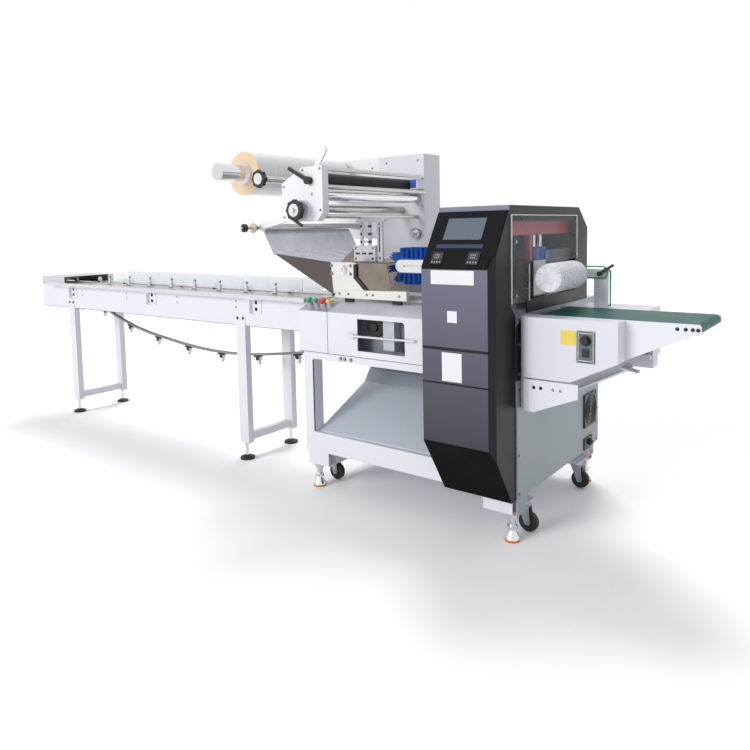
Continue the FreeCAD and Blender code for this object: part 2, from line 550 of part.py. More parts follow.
web_low = WEB_ROLL[1] - WEB_ROLL_R
film_edge = (mid - half - SHOULDER_SPREAD, mid + half + SHOULDER_SPREAD)
drop = sheet([(WEB_ROLL[0], film_edge[0], web_low), (WEB_ROLL[0], film_edge[1], web_low),
              (SHOULDER_TOP[0], film_edge[1], SHOULDER_TOP[1]), (SHOULDER_TOP[0], film_edge[0], SHOULDER_TOP[1])], 1.5)
ramp = sheet([(SHOULDER_TOP[0], film_edge[0], SHOULDER_TOP[1]), (SHOULDER_TOP[0], film_edge[1], SHOULDER_TOP[1]),
              (THROAT_X, TUBE_Y[1], TUBE_TOP), (THROAT_X, TUBE_Y[0], TUBE_TOP)], 6.0)
add("film_web", fuse(drop, ramp))
wings = []
for y_edge, y_wall in ((film_edge[0], TUBE_Y[0] - 6), (film_edge[1], TUBE_Y[1] + 6)):
    wings.append(sheet([(SHOULDER_TOP[0] + 7, y_edge, SHOULDER_TOP[1]), (SHOULDER_TOE[0] + 7, y_wall, SHOULDER_TOE[1]),
                        (THROAT_X + 7, y_wall, TUBE_TOP)], 3.0))
add("former_shoulder", *wings)

cheek = ((THROAT_X + 10, TUBE_TOP), (TUBE_X[0], TUBE_TOP), (TUBE_X[0], 935), (2760, 879), (2585, 879), (THROAT_X + 10, 930))
tube = fuse(box(THROAT_X + 6, TUBE_X[1], TUBE_Y[0], TUBE_Y[1], TUBE_TOP - 3, TUBE_TOP),
            box(TUBE_X[0], TUBE_X[1], TUBE_Y[0], TUBE_Y[0] + 3, 880, TUBE_TOP),
            box(TUBE_X[0], TUBE_X[1], TUBE_Y[1] - 3, TUBE_Y[1], 880, TUBE_TOP))
gate = ((TUBE_X[0], 935), (TUBE_X[0], TUBE_TOP - 10), (TUBE_X[0] + 14, TUBE_TOP - 10), (TUBE_X[0] + 14, 938), (2778, 880),
        (2760, 880))
strips = [prism_y(gate, TUBE_Y[0] - 6, TUBE_Y[0]), prism_y(gate, TUBE_Y[1], TUBE_Y[1] + 6)]
RAIL_Y = ((TUBE_Y[0] - 14, TUBE_Y[0] + 6), (TUBE_Y[1] - 6, TUBE_Y[1] + 14))
cheek_y = ((TUBE_Y[0] - 6, TUBE_Y[0]), (TUBE_Y[1], TUBE_Y[1] + 6))
add("former_side_plates", *[fuse(prism_y(cheek, *ys), box(2640, 2985, *rail, TABLE_TOP, 880))
                            for ys, rail in zip(cheek_y, RAIL_Y)])
hanger_top = HANGER_ROD[1] - ROD_R
add("former_tube", fuse(tube, *strips, box(2640, 2790, 92, 112, hanger_top - 18, hanger_top),
                        *[box(x, x + 22, 96, 108, TUBE_TOP - 1, hanger_top) for x in (2710, 2760)],
                        box(2732, 2760, 92, 112, 1060, 1120)))

# ======================= Hold-down brush belt =======================
ARM = ((2912.0, 985.0), (3128.0, 985.0))
ARM_R = 26.0
BRISTLE = 48.0
ARM_Y = (40.0, 150.0)


def stadium(radius, y0, y1):
    return prism_y(hull_of_two_circles(ARM[0], radius, ARM[1], radius, 16), y0, y1)


arm = stadium(ARM_R, *ARM_Y)
slot = box(2925, 3030, ARM_Y[0] - 1, ARM_Y[0] + 8, 981, 989)
add("hold_down_arm", fuse(arm, box(2994, 3034, ARM_Y[1], COLUMN_Y[0] - 200, 975, 995),
                          box(2994, 3034, 338, 358, TABLE_TOP, 995)).cut(slot))
path = hull_of_two_circles(ARM[0], ARM_R + BRISTLE / 2, ARM[1], ARM_R + BRISTLE / 2, 16)
bristles = stadium(ARM_R + BRISTLE, ARM_Y[0] + 8, ARM_Y[1] - 8).cut(stadium(ARM_R + SEAT, ARM_Y[0], ARM_Y[1]))
add("brush_belt", bristles)

# ======================= Control cabinet =======================
cab_profile = (CAB_BEVEL[0], CAB_BEVEL[1], (CAB_FRONT, SLOPE_FOOT[1]), SLOPE_HEAD, (SLOPE_HEAD[0], CAB_TOP),
               (CAB_BACK, CAB_TOP), (CAB_BACK, TABLE_TOP + 40), (FRAME_FRONT, TABLE_TOP + 2), (FRAME_FRONT, CAB_BEVEL[0][1]))
cabinet = prism_x(cab_profile, CAB_LEFT, FRAME_RIGHT)
corner = prism_z(((FRAME_RIGHT + 1, CAB_FRONT - 1), (FRAME_RIGHT + 1, CAB_FRONT + 28), (FRAME_RIGHT - 16, CAB_FRONT - 1)),
                 300, 1300)
cabinet = cabinet.cut(corner)
door_x = (CAB_LEFT + 2, FRAME_RIGHT - 16)
bands = ((392.0, SEAM_Z[1] - 3), (SEAM_Z[1] + 3, SEAM_Z[0] - 5), (SEAM_Z[0] + 5, SLOPE_FOOT[1] - 2))
add("cabinet_doors", *[box(door_x[0], door_x[1], CAB_FRONT - DOOR_T, CAB_FRONT, z0, z1) for z0, z1 in bands])
slope_run = (SLOPE_HEAD[0] - CAB_FRONT, SLOPE_HEAD[1] - SLOPE_FOOT[1])
slope_len = hypot(*slope_run)
slope_dir = (slope_run[0] / slope_len, slope_run[1] / slope_len)


def on_slope(x0, x1, t0, t1, n0, n1):
    """Block on the slanted console, t up the slope and n out of it."""
    corners = []
    for t, n in ((t0, n0), (t1, n0), (t1, n1), (t0, n1)):
        corners.append((CAB_FRONT + t * slope_dir[0] - n * slope_dir[1],
                        SLOPE_FOOT[1] + t * slope_dir[1] + n * slope_dir[0]))
    return prism_x(corners, x0, x1)


console = on_slope(CAB_LEFT + 10, FRAME_RIGHT - 18, 8, 222, -1, 3)
add("control_cabinet", fuse(cabinet, console, on_slope(3258, 3426, 78, 98, 2, 5)))
add("console_instruments", on_slope(3268, 3420, 110, 206, 3, 7), on_slope(3240, 3300, 12, 66, 3, 14),
    on_slope(3376, 3436, 12, 66, 3, 14))

# ======================= End-seal cover and jaws =======================
cover_outline = ((CAB_BACK, TABLE_TOP + 2), (CAB_BACK, CAB_TOP), (COVER_REAR[0], CAB_TOP), (COVER_REAR[1], COVER_REAR_Z),
                 (COVER_REAR[1], TABLE_TOP), (FRAME_FRONT + 93, TABLE_TOP))
inner_outline = ((CAB_BACK - 1, TABLE_TOP - 1), (CAB_BACK - 1, CAB_TOP - COVER_T), (COVER_REAR[0] - 2, CAB_TOP - COVER_T),
                 (COVER_REAR[1] - COVER_T, COVER_REAR_Z - 3), (COVER_REAR[1] - COVER_T, TABLE_TOP - 1))
outer_box = ((CAB_BACK, TABLE_TOP + 40), (CAB_BACK, CAB_TOP), (COVER_REAR[0], CAB_TOP), (COVER_REAR[1], COVER_REAR_Z),
             (COVER_REAR[1], TABLE_TOP), (0, TABLE_TOP), (0, TABLE_TOP + 40))
cover = prism_x(outer_box, CAB_LEFT, FRAME_RIGHT)
cover = cover.cut(prism_x(inner_outline, CAB_LEFT + COVER_T, FRAME_RIGHT - COVER_T))
cover = cover.cut(box(FRAME_RIGHT - COVER_T - 1, FRAME_RIGHT + 1, WINDOW_Y[0], WINDOW_Y[1], *WINDOW_Z))
cover = cover.cut(box(CAB_LEFT - 1, CAB_LEFT + COVER_T + 1, 10, 330, TABLE_TOP + 2, 1070))
add("seal_cover", cover)
PANE_T = 4.0
pane_split = 15.0
pane = box(FRAME_RIGHT, FRAME_RIGHT + PANE_T, WINDOW_Y[0] - 6, WINDOW_Y[1] + 6, WINDOW_Z[0] - 4, WINDOW_Z[1] + 4)
add("guard_window", pane.cut(box(FRAME_RIGHT - 1, FRAME_RIGHT + PANE_T + 1, pane_split, WINDOW_Y[1] + 7, 870, 1005)))

SPRING_Y = (155.0, 212.0)
SPRING_Z = (1012.0, 1060.0)
BEAM_Z = (1106.0, 1157.0)
add("jaw_crosshead", fuse(box(3430, 3452, CAB_BACK, COVER_REAR[1] - 50, BEAM_Z[0], BEAM_Z[1]),
                          box(3430, 3452, 98, 122, SPRING_Z[0], BEAM_Z[0]),
                          *[rod_z((3441, y), SPRING_Z[1], BEAM_Z[0] + 1, 8.0) for y in SPRING_Y]))
springs = [rod_z((3441, y), SPRING_Z[0] - 1, SPRING_Z[1], 22.0) for y in SPRING_Y]
JAW_X = 3433.0
UPPER_JAW_Z = 938.0
LOWER_JAW_Z = 860.0
JAW_TIP_R = 36.0
JAW_Y = (215.0, 520.0)
blocks = [box(3398, 3468, 98, JAW_Y[0] - 7, TABLE_TOP, SPRING_Z[0]), box(3398, 3468, JAW_Y[1] + 10, 560, TABLE_TOP, 1000)]
for z in (UPPER_JAW_Z, LOWER_JAW_Z):
    blocks = [b.cut(rod_y((JAW_X, z), 100, 600, 12 + RUN_FIT)) for b in blocks]
add("jaw_housing", fuse(*blocks, *springs, box(3398, 3468, JAW_Y[0] - 8, JAW_Y[1] + 11, 985, 1045)))


def jaw(z):
    core = rod_y((JAW_X, z), JAW_Y[0], JAW_Y[1], 20.0)
    bars = box(JAW_X - 12, JAW_X + 12, JAW_Y[0], JAW_Y[1], z - JAW_TIP_R + 2, z + JAW_TIP_R - 2)
    return fuse(core, bars, rod_y((JAW_X, z), 140, 556, 12.0))


add("upper_jaw", jaw(UPPER_JAW_Z))
add("lower_jaw", jaw(LOWER_JAW_Z))

# ======================= Outfeed =======================
plate_outline = ((OUT_LEFT, 680), (OUT_STEP - 40, 680), (4040, 794), (OUTFEED_END, 804), (OUTFEED_END, 824),
                 (OUTFEED_END - 6, TABLE_TOP), (OUT_LEFT, TABLE_TOP))
y_front, y_rear = OUT_PLATE_Y
add("outfeed_side_plates", prism_y(plate_outline, y_front, y_front + OUT_PLATE_T),
    prism_y(plate_outline, y_rear, y_rear + OUT_PLATE_T))
inner_front = y_front + OUT_PLATE_T
belt_path = hull_of_two_circles(DRIVE, DRIVE_R + BELT_T / 2 + SEAT, NOSE, NOSE_R + BELT_T / 2 + SEAT, 12)
add("outfeed_belt", band(belt_path[::-1], -BELT_T, inner_front + 4, y_rear - 4))
add("outfeed_bed", rod_y(DRIVE, inner_front, y_rear, DRIVE_R), rod_y(NOSE, inner_front, y_rear, NOSE_R),
    box(OUT_LEFT + 90, 4010, inner_front, y_rear, 816, 826))
housing_outline = ((OUT_LEFT, 620), (3684, 620), (OUT_STEP, 697), (OUT_STEP, TABLE_TOP), (OUT_LEFT, TABLE_TOP))
housing = prism_y(housing_outline, OUT_FRONT, y_front)
corner_edge = [e for e in housing.Edges if all(abs(v.X - OUT_LEFT) < 0.1 and abs(v.Y - OUT_FRONT) < 0.1 for v in e.Vertexes)]
housing = housing.makeFillet(48.0, corner_edge)
rear_housing = fuse(box(3560, 3830, y_rear + OUT_PLATE_T, 420, 652, TABLE_TOP), box(3705, 3830, 300, 420, 588, 653))
support = fuse(box(end_face, 3700, 20, 28, 560, 680), box(end_face, 3700, 212, 220, 560, 680),
               box(OUT_LEFT, 3700, inner_front, y_rear, 680, 688))
skirt_out = [(end_face, -50.0), (end_face, -62.0), (3500, -80), (3518, -96), (3540, OUT_FRONT), (3712, OUT_FRONT)]
skirt_in = [(3712, OUT_FRONT + 4), (3541, OUT_FRONT + 4), (3521, -92), (3504, -77), (end_face + 4, -61), (end_face + 4, -50)]
skirt = prism_z(skirt_out + skirt_in, 528, 615)
add("outfeed_supports", support, skirt.cut(prism_y(((3560, 527), (3713, 527), (3713, 572), (3560, 532)), OUT_FRONT - 10, -40)))
knob_face = OUT_FRONT
speed_control = [box(3708, 3767, knob_face - 3, knob_face + 1, 692, 795), rod_y((3738, 765), knob_face - 17, knob_face - 2, 13.0),
                 box(3728, 3748, knob_face - 8, knob_face - 2, 712, 738)]
add("outfeed_housings", fuse(housing, *speed_control), rear_housing)

brush_body = rod_y(BRUSH, BRUSH_Y[0], BRUSH_Y[1], BRUSH_R)
brush_body = brush_body.makeChamfer(20.0, [e for e in brush_body.Edges if abs(e.Length - 2 * pi * BRUSH_R) < 1])
add("outfeed_brush", fuse(brush_body, rod_y(BRUSH, BRUSH_Y[1], 326, BRUSH_SHAFT_R)))
POST_X = (3620.0, 3672.0)
POST_Y = (300.0, 312.0)
post = fuse(box(POST_X[0], POST_X[1], POST_Y[0], POST_Y[1], TABLE_TOP, 972),
            box(BRUSH[0] - 20, POST_X[0], POST_Y[0], POST_Y[1], BRUSH[1] - 20, BRUSH[1] + 15))
add("brush_post", post.cut(rod_y(BRUSH, POST_Y[0] - 1, POST_Y[1] + 1, BRUSH_SHAFT_R + RUN_FIT)))
levers.append(fuse(rod_y((3645, 955), POST_Y[0] - 18, POST_Y[0], 9.0),
                              prism_y(((3640, 958), (3650, 952), (3700, 985), (3696, 993)), POST_Y[0] - 18, POST_Y[0] - 10)))
add("clamp_levers", *levers)

# ---- Small fittings on the end panel ----
fan = box(end_face - 1, end_face + 8, 535, 688, 282, 422)
for radius in (62.0, 48.0, 34.0):
    ring = rod((end_face + 3, 611, 352), (end_face + 9, 611, 352), radius)
    fan = fan.cut(ring.cut(rod((end_face + 2, 611, 352), (end_face + 10, 611, 352), radius - 8)))
end_panel = fuse(end_panel, fan, box(end_face - 1, end_face + 5, 545, 650, 182, 236),
                 rod((end_face + 4, 597, 209), (end_face + 16, 597, 209), 18.0))
add("housing_panels", left_panel, rear_panel, end_panel)

# ======================= Placement and export =======================
home = V(-OUTFEED_END / 2, -(FRONT_MOST + FRAME_REAR) / 2, 0)
for name, shape in nodes.items():
    moved = shape.copy()
    moved.translate(home)
    moved.exportStep("parts/" + name + ".step")
    if not moved.isValid():
        print("not valid:", name)
print("nodes", len(nodes))
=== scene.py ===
from math import cos, hypot, pi, radians, sin

import bmesh
import bpy
from mathutils import Matrix, Vector, noise


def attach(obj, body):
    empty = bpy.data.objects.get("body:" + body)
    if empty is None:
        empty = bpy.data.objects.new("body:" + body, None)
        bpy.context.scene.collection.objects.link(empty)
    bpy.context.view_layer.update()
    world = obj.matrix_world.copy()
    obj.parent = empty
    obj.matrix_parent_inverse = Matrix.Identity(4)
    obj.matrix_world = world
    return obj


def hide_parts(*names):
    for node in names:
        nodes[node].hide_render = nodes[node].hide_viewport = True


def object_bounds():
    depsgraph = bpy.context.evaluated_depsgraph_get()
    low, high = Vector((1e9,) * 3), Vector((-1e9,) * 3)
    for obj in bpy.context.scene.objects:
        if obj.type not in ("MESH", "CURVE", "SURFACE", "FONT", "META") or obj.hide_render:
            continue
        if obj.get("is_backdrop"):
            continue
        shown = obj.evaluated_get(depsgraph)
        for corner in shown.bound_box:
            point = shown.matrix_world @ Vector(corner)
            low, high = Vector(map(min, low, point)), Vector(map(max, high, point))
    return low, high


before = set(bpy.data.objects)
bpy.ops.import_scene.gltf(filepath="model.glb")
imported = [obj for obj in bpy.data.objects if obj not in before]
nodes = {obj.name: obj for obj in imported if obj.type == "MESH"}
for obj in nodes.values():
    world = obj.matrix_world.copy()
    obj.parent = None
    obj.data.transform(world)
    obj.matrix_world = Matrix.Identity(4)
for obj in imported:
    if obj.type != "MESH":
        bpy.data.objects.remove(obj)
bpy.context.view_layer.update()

# The machine is laid out in millimetres from the infeed tail, the infeed front face and the floor.
HOME_X = -2032.0
HOME_Y = -219.5

# Faces and levels that several pieces share.
DECK_LEVEL = 830
BEAM_FRONT, BEAM_REAR = 0, 340
PANEL_FACE = -93
HOUSING_FACE = -101
END_FACE = 3493


def at(x, y, z):
    return Vector(((x + HOME_X) / 1000, (y + HOME_Y) / 1000, z / 1000))


def tint(r, g, b):
    """Linear colour from 0-255 display values."""
    channels = []
    for value in (r, g, b):
        share = value / 255
        channels.append(share / 12.92 if share <= 0.04045 else ((share + 0.055) / 1.055) ** 2.4)
    return (*channels, 1.0)


# ======================= Node helpers =======================
def feed(tree, node, feeds):
    """Gives a node's inputs values, or joins them to other nodes' outputs."""
    for label, value in feeds.items():
        if isinstance(value, bpy.types.NodeSocket):
            tree.links.new(value, node.inputs[label])
        else:
            node.inputs[label].default_value = value


def wired(tree, kind, feeds=None, **settings):
    """A new node with its settings made and its inputs fed."""
    node = tree.nodes.new(kind)
    for name, value in settings.items():
        setattr(node, name, value)
    feed(tree, node, feeds or {})
    return node


def maths(tree, operation, *values):
    return wired(tree, "ShaderNodeMath", dict(enumerate(values)), operation=operation).outputs[0]


def blend(tree, share, first, second, kind="RGBA"):
    """From the first colour or value to the second as the share goes from 0 to 1."""
    start, out = (6, 2) if kind == "RGBA" else (2, 0)
    feeds = {0: share, start: first, start + 1: second}
    return wired(tree, "ShaderNodeMix", feeds, data_type=kind).outputs[out]


def new_tree(name, kind, inputs, outputs):
    tree = bpy.data.node_groups.new(name, kind)
    for label, socket_kind, value in inputs:
        socket = tree.interface.new_socket(label, in_out="INPUT", socket_type=socket_kind)
        if value is not None:
            socket.default_value = value
    for label, socket_kind in outputs:
        tree.interface.new_socket(label, in_out="OUTPUT", socket_type=socket_kind)
    return tree, tree.nodes.new("NodeGroupInput").outputs, tree.nodes.new("NodeGroupOutput")


# ======================= Shared effects =======================
def build_surface_wear():
    """Soft blotches in the colour, uneven gloss and a fine skin."""
    group, given, end = new_tree(
        "surface_wear", "ShaderNodeTree",
        (("Vector", "NodeSocketVector", None), ("Colour", "NodeSocketColor", (0.8, 0.8, 0.8, 1)),
         ("Roughness", "NodeSocketFloat", 0.4), ("Mottle", "NodeSocketFloat", 0.05),
         ("Scale", "NodeSocketFloat", 5.0), ("Fine Scale", "NodeSocketFloat", 300.0)),
        (("Colour", "NodeSocketColor"), ("Roughness", "NodeSocketFloat"), ("Height", "NodeSocketFloat")))
    blotch, fine = (wired(group, "ShaderNodeTexNoise", {"Vector": given["Vector"], "Scale": given[size],
                                                        "Detail": detail})
                    for size, detail in (("Scale", 4.0), ("Fine Scale", 2.0)))
    swing = maths(group, "SUBTRACT", blotch.outputs["Fac"], 0.5)
    strength = maths(group, "MULTIPLY", maths(group, "MULTIPLY", swing, 3.0), given["Mottle"])
    level = maths(group, "ADD", 1.0, strength)
    shaded = wired(group, "ShaderNodeVectorMath", {0: given["Colour"], "Scale": level}, operation="SCALE")
    gloss = maths(group, "ADD", given["Roughness"], maths(group, "MULTIPLY", swing, 0.25))
    feed(group, end, {"Colour": shaded.outputs[0], "Roughness": gloss, "Height": fine.outputs["Fac"]})
    return group


def build_inside_box():
    """1 inside a box given by its centre and half size."""
    group, given, end = new_tree(
        "inside_box", "ShaderNodeTree",
        [(label, "NodeSocketVector", None) for label in ("Vector", "Centre", "Half")],
        (("Mask", "NodeSocketFloat"),))
    last = given["Vector"]
    for operation, other in (("SUBTRACT", "Centre"), ("ABSOLUTE", None), ("SUBTRACT", "Half")):
        feeds = {0: last, 1: given[other]} if other else {0: last}
        last = wired(group, "ShaderNodeVectorMath", feeds, operation=operation).outputs[0]
    parts = wired(group, "ShaderNodeSeparateXYZ", {0: last}).outputs
    most = maths(group, "MAXIMUM", maths(group, "MAXIMUM", parts[0], parts[1]), parts[2])
    feed(group, end, {"Mask": maths(group, "LESS_THAN", most, 0.0)})
    return group


SURFACE_WEAR = build_surface_wear()
INSIDE_BOX = build_inside_box()
SKIN_DEPTH = 0.0006


def finish(name, colour, rough, metal=0.0, mottle=0.03, scale=4.0, fine=400.0, bump=0.05, stretch=(1, 1, 1),
           rounding=0.0, coat=0.0, alpha=1.0, specular=0.5, lower=None, zones=()):
    """A worn surface, into whose colour some zones and the lower fade paint light or shade. Zones are (x0,
    x1, y0, y1, z0, z1, colour, roughness, metallic) in machine millimetres.
    Lower is (z0, z1, colour): below z1 the surface fades to that colour, which it reaches at z0."""
    material = bpy.data.materials.new(name)
    material.use_nodes = True
    tree = material.node_tree
    spot = wired(tree, "ShaderNodeTexCoord").outputs["Object"]
    if lower:
        low_z, high_z, low_colour = lower
        height = wired(tree, "ShaderNodeSeparateXYZ", {0: spot}).outputs["Z"]
        feeds = {"Value": height, "From Min": low_z / 1000, "From Max": high_z / 1000}
        colour = blend(tree, wired(tree, "ShaderNodeMapRange", feeds).outputs[0], low_colour, colour)
    for x0, x1, y0, y1, z0, z1, zone_colour, zone_rough, zone_metal in zones:
        low, high = at(x0, y0, z0), at(x1, y1, z1)
        feeds = {"Vector": spot, "Centre": (low + high) / 2, "Half": (high - low) / 2}
        mask = wired(tree, "ShaderNodeGroup", feeds, node_tree=INSIDE_BOX).outputs["Mask"]
        colour = blend(tree, mask, colour, zone_colour)
        rough = blend(tree, mask, rough, zone_rough, "FLOAT")
        metal = blend(tree, mask, metal, zone_metal, "FLOAT")
    stretched = wired(tree, "ShaderNodeMapping", {"Vector": spot, "Scale": stretch}).outputs[0]
    feeds = {"Vector": stretched, "Colour": colour, "Roughness": rough, "Mottle": mottle, "Scale": scale,
             "Fine Scale": fine}
    wear_and_painted_light = wired(tree, "ShaderNodeGroup", feeds, node_tree=SURFACE_WEAR).outputs
    skin = {"Strength": bump, "Distance": SKIN_DEPTH, "Height": wear_and_painted_light["Height"]}
    if rounding:
        skin["Normal"] = wired(tree, "ShaderNodeBevel", {"Radius": rounding}, samples=4).outputs[0]
    feed(tree, tree.nodes["Principled BSDF"], {
        "Base Color": wear_and_painted_light["Colour"], "Roughness": wear_and_painted_light["Roughness"], "Metallic": metal,
        "Normal": wired(tree, "ShaderNodeBump", skin).outputs[0], "Coat Weight": coat,
        "Specular IOR Level": specular, "Alpha": alpha})
    return material


# ======================= Finishes =======================
WHITE = tint(236, 236, 242)
# Grey painted shade for the slanted top of the white front panel.
SLANT_PAINTED_SHADE = tint(206, 208, 216)
NEAR_BLACK = tint(16, 16, 19)
DARK = tint(40, 41, 45)
STEEL = tint(186, 184, 180)
BRIGHT = tint(222, 222, 224)

white_paint = finish("white_paint", WHITE, 0.38, mottle=0.015, rounding=0.0015)
grey_paint = finish("grey_paint", tint(168, 172, 184), 0.45, mottle=0.03, rounding=0.001)
stainless = finish("stainless", STEEL, 0.3, 0.9, mottle=0.08, scale=9, stretch=(1, 14, 14), bump=0.08)
chrome = finish("chrome", BRIGHT, 0.1, 1.0, mottle=0.03)
dark_steel = finish("dark_steel", DARK, 0.42, 0.5, mottle=0.15, scale=30)
rubber = finish("rubber", tint(28, 28, 30), 0.62, mottle=0.12, scale=25, bump=0.2)
black_knob = finish("black_knob", tint(24, 24, 26), 0.35, mottle=0.1, scale=30, rounding=0.001)
white_plastic = finish("white_plastic", tint(236, 236, 234), 0.4, mottle=0.02, rounding=0.0015)
bare_plate = finish("bare_plate", tint(238, 238, 240), 0.5, mottle=0.02)
yellow_plate = finish("yellow_plate", tint(243, 215, 92), 0.5, mottle=0.03)
clear_plastic = finish("clear_plastic", tint(240, 245, 248), 0.18, alpha=0.46, mottle=0.02, coat=0.4)
clear_pane = finish("clear_pane", tint(226, 230, 238), 0.08, alpha=0.07, mottle=0.03, coat=0.3)
pane_edge = finish("pane_edge", tint(242, 244, 246), 0.25, mottle=0.02)
bolt_steel = finish("bolt_steel", tint(150, 150, 154), 0.25, 0.9, mottle=0.1, scale=60)
dark_bolt = finish("dark_bolt", tint(46, 46, 50), 0.4, 0.5, mottle=0.1, scale=60)
green_round_belt = finish("green_round_belt", tint(34, 172, 92), 0.4, mottle=0.08, scale=40)
blue_tuft = finish("blue_tuft", tint(22, 92, 186), 0.5, mottle=0.3, scale=45, bump=0.1)
white_tuft = finish("white_tuft", tint(251, 251, 255), 0.55, mottle=0.05, scale=60)
cabinet_black_and_highlight = finish("cabinet_black_and_highlight", tint(23, 24, 30), 0.42, mottle=0.05, rounding=0.002, specular=0.25,
                       zones=(
    # Painted highlight: a light grey strip along the console's top edge stands for the light that edge
    # catches.
    (3200, 3500, -142, -100, 1194, 1215, tint(128, 126, 142), 0.35, 0.2),))
panel_black = finish("panel_black", tint(9, 10, 14), 0.3, mottle=0.06, rounding=0.001, specular=0.16)
# Near-black painted shade for the cabinet's downward-facing foot.
foot_painted_shade = finish("foot_painted_shade", tint(4, 4, 5), 0.6, mottle=0.05, specular=0.08)
# Painted reflection: the semi-gloss black doors are painted the lighter grey of their sheen, and the fade to
# a darker colour towards the bottom is painted reflection and shade as well.
door_paint = finish("door_paint", tint(102, 102, 121), 0.36, 0.15, mottle=0.03, scale=2.5, rounding=0.001,
                    lower=(400.0, 960.0, tint(52, 53, 63)))
cover_black_and_lit_inside = finish("cover_black_and_lit_inside", tint(38, 37, 44), 0.42, mottle=0.05, rounding=0.002, specular=0.25,
                     zones=(
    # Painted light: the inside of the cover is painted light grey to lift the shade that falls inside it.
    (3219, 3481, -134, 587, 832, 1205, tint(206, 203, 214), 0.5, 0.0),))
screen_face = finish("screen_face", tint(26, 27, 31), 0.2, mottle=0.05)
screen_glass = finish("screen_glass", tint(98, 110, 120), 0.16, mottle=0.05, scale=3)
controller_glass = finish("controller_glass", tint(66, 68, 78), 0.2, mottle=0.1, scale=20)
controller_key = finish("controller_key", tint(150, 152, 160), 0.4, mottle=0.05)
title_blue = finish("title_blue", tint(38, 54, 88), 0.35, mottle=0.04)
brush_hub = finish("brush_hub", tint(240, 241, 247), 0.5, mottle=0.05)
panel_paint = finish("panel_paint", tint(222, 222, 230), 0.42, mottle=0.02, rounding=0.001)
# Painted shade: the end panel is the white panel paint darkened to grey-green for the shade on its side.
end_painted_shade = finish("end_painted_shade", tint(160, 171, 174), 0.42, mottle=0.03, scale=2.0, rounding=0.001, zones=(
    # Painted shade: a black strip along the panel's front edge stands for the shaded gap between the cabinet
    # and the outfeed housing.
    (3486, 3496, -95, -38, 600, 832, NEAR_BLACK, 0.6, 0.0),))
pan_paint = finish("pan_paint", tint(212, 220, 230), 0.4, mottle=0.05, scale=2.0)
tail_paint = finish("tail_paint", tint(208, 210, 214), 0.4, mottle=0.03, rounding=0.001, zones=(
    (285, 305, -5, 345, 833, 880, tint(36, 40, 52), 0.4, 0.0),))
pad_rubber = finish("pad_rubber", tint(26, 27, 26), 0.6, mottle=0.1, scale=30, zones=(
    (2400, 3600, -120, 760, -5, 200, tint(226, 122, 44), 0.4, 0.3),))
button_shell = finish("button_shell", tint(20, 160, 96), 0.3, coat=0.3, mottle=0.03, zones=(
    (2505, 2540, -120, 20, 800, 860, tint(38, 168, 130), 0.3, 0.0),
    (2540, 2581, -120, 20, 800, 860, tint(224, 52, 62), 0.3, 0.0),
    (2581, 2620, -120, 20, 800, 860, tint(240, 214, 96), 0.3, 0.0)))
panel_with_rod_and_slant_shade = finish("panel_with_rod_and_slant_shade", WHITE, 0.38, mottle=0.015, zones=(
    # Painted shade: the slanted top of the white front panel is painted grey for the shade on its slant.
    (2600, 3500, -92.5, 5, 792.5, 835, SLANT_PAINTED_SHADE, 0.4, 0.0),
    (2700, 3100, -130, -94, 600, 760, BRIGHT, 0.2, 0.9)))
button_box_paint = finish("button_box_paint", WHITE, 0.38, mottle=0.015, rounding=0.001, zones=(
    (2450, 2625, -92.5, 5, 792.6, 870, tint(190, 190, 194), 0.35, 0.5),))
drive_metal = finish("drive_metal", tint(150, 154, 164), 0.4, 0.4, mottle=0.1, scale=12, zones=(
    (2780, 2888, -60, -19, 680, 800, tint(30, 31, 34), 0.5, 0.2),
    (2889, 2946, -62, -19, 640, 775, tint(196, 200, 212), 0.4, 0.2),
    (2955, 3030, -60, -19, 630, 712, NEAR_BLACK, 0.5, 0.0)))
column_paint = finish("column_paint", tint(232, 232, 238), 0.4, mottle=0.015, rounding=0.002, zones=(
    (2640, 2682, 500, 557, 1334, 1380, tint(18, 96, 182), 0.4, 0.0),
    (2620, 2680, 500, 557.5, 1085, 1145, tint(176, 174, 176), 0.18, 1.0)))
head_paint = finish("head_paint", tint(246, 246, 249), 0.35, mottle=0.01, rounding=0.0015, zones=(
    (2560, 2648, -225, -200.5, 1178, 1264, tint(214, 214, 232), 0.35, 0.0),))
rods_metal = finish("rods_metal", tint(196, 194, 190), 0.18, 0.9, mottle=0.1, scale=10,
                    stretch=(10, 1, 10), zones=(
    (2260, 2320, -256, -236, 1130, 1180, tint(24, 24, 26), 0.35, 0.0),
    (2260, 2320, -204, -190, 1130, 1180, tint(240, 214, 190), 0.4, 0.0),
    (2260, 2320, -188, -164, 1130, 1180, tint(22, 92, 180), 0.4, 0.0)))
tube_metal = finish("tube_metal", tint(134, 124, 112), 0.24, 0.9, mottle=0.3, scale=9)
cheek_paint = finish("cheek_paint", tint(232, 230, 224), 0.4, 0.1, mottle=0.03, rounding=0.001)
wing_metal = finish("wing_metal", tint(96, 90, 87), 0.34, 0.75, mottle=0.15, scale=6)
jaw_metal = finish("jaw_metal", tint(34, 34, 38), 0.4, 0.3, mottle=0.12, scale=20, zones=(
    (3410, 3475, 130, 236, 1011.5, 1062, tint(34, 86, 172), 0.4, 0.1),
    (3390, 3475, 90, 206, 825, 1011, tint(150, 150, 152), 0.3, 0.8)))
crosshead_paint = finish("crosshead_paint", tint(150, 42, 34), 0.45, mottle=0.08, scale=12, zones=(
    (3420, 3460, 140, 230, 1058, 1105.5, tint(200, 202, 204), 0.2, 0.9),))
jaw_steel = finish("jaw_steel", tint(120, 118, 114), 0.3, 0.9, mottle=0.12, scale=15)
green_belt = finish("green_belt", tint(10, 82, 74), 0.45, mottle=0.08, scale=5, specular=0.2,
                    fine=900, bump=0.2)
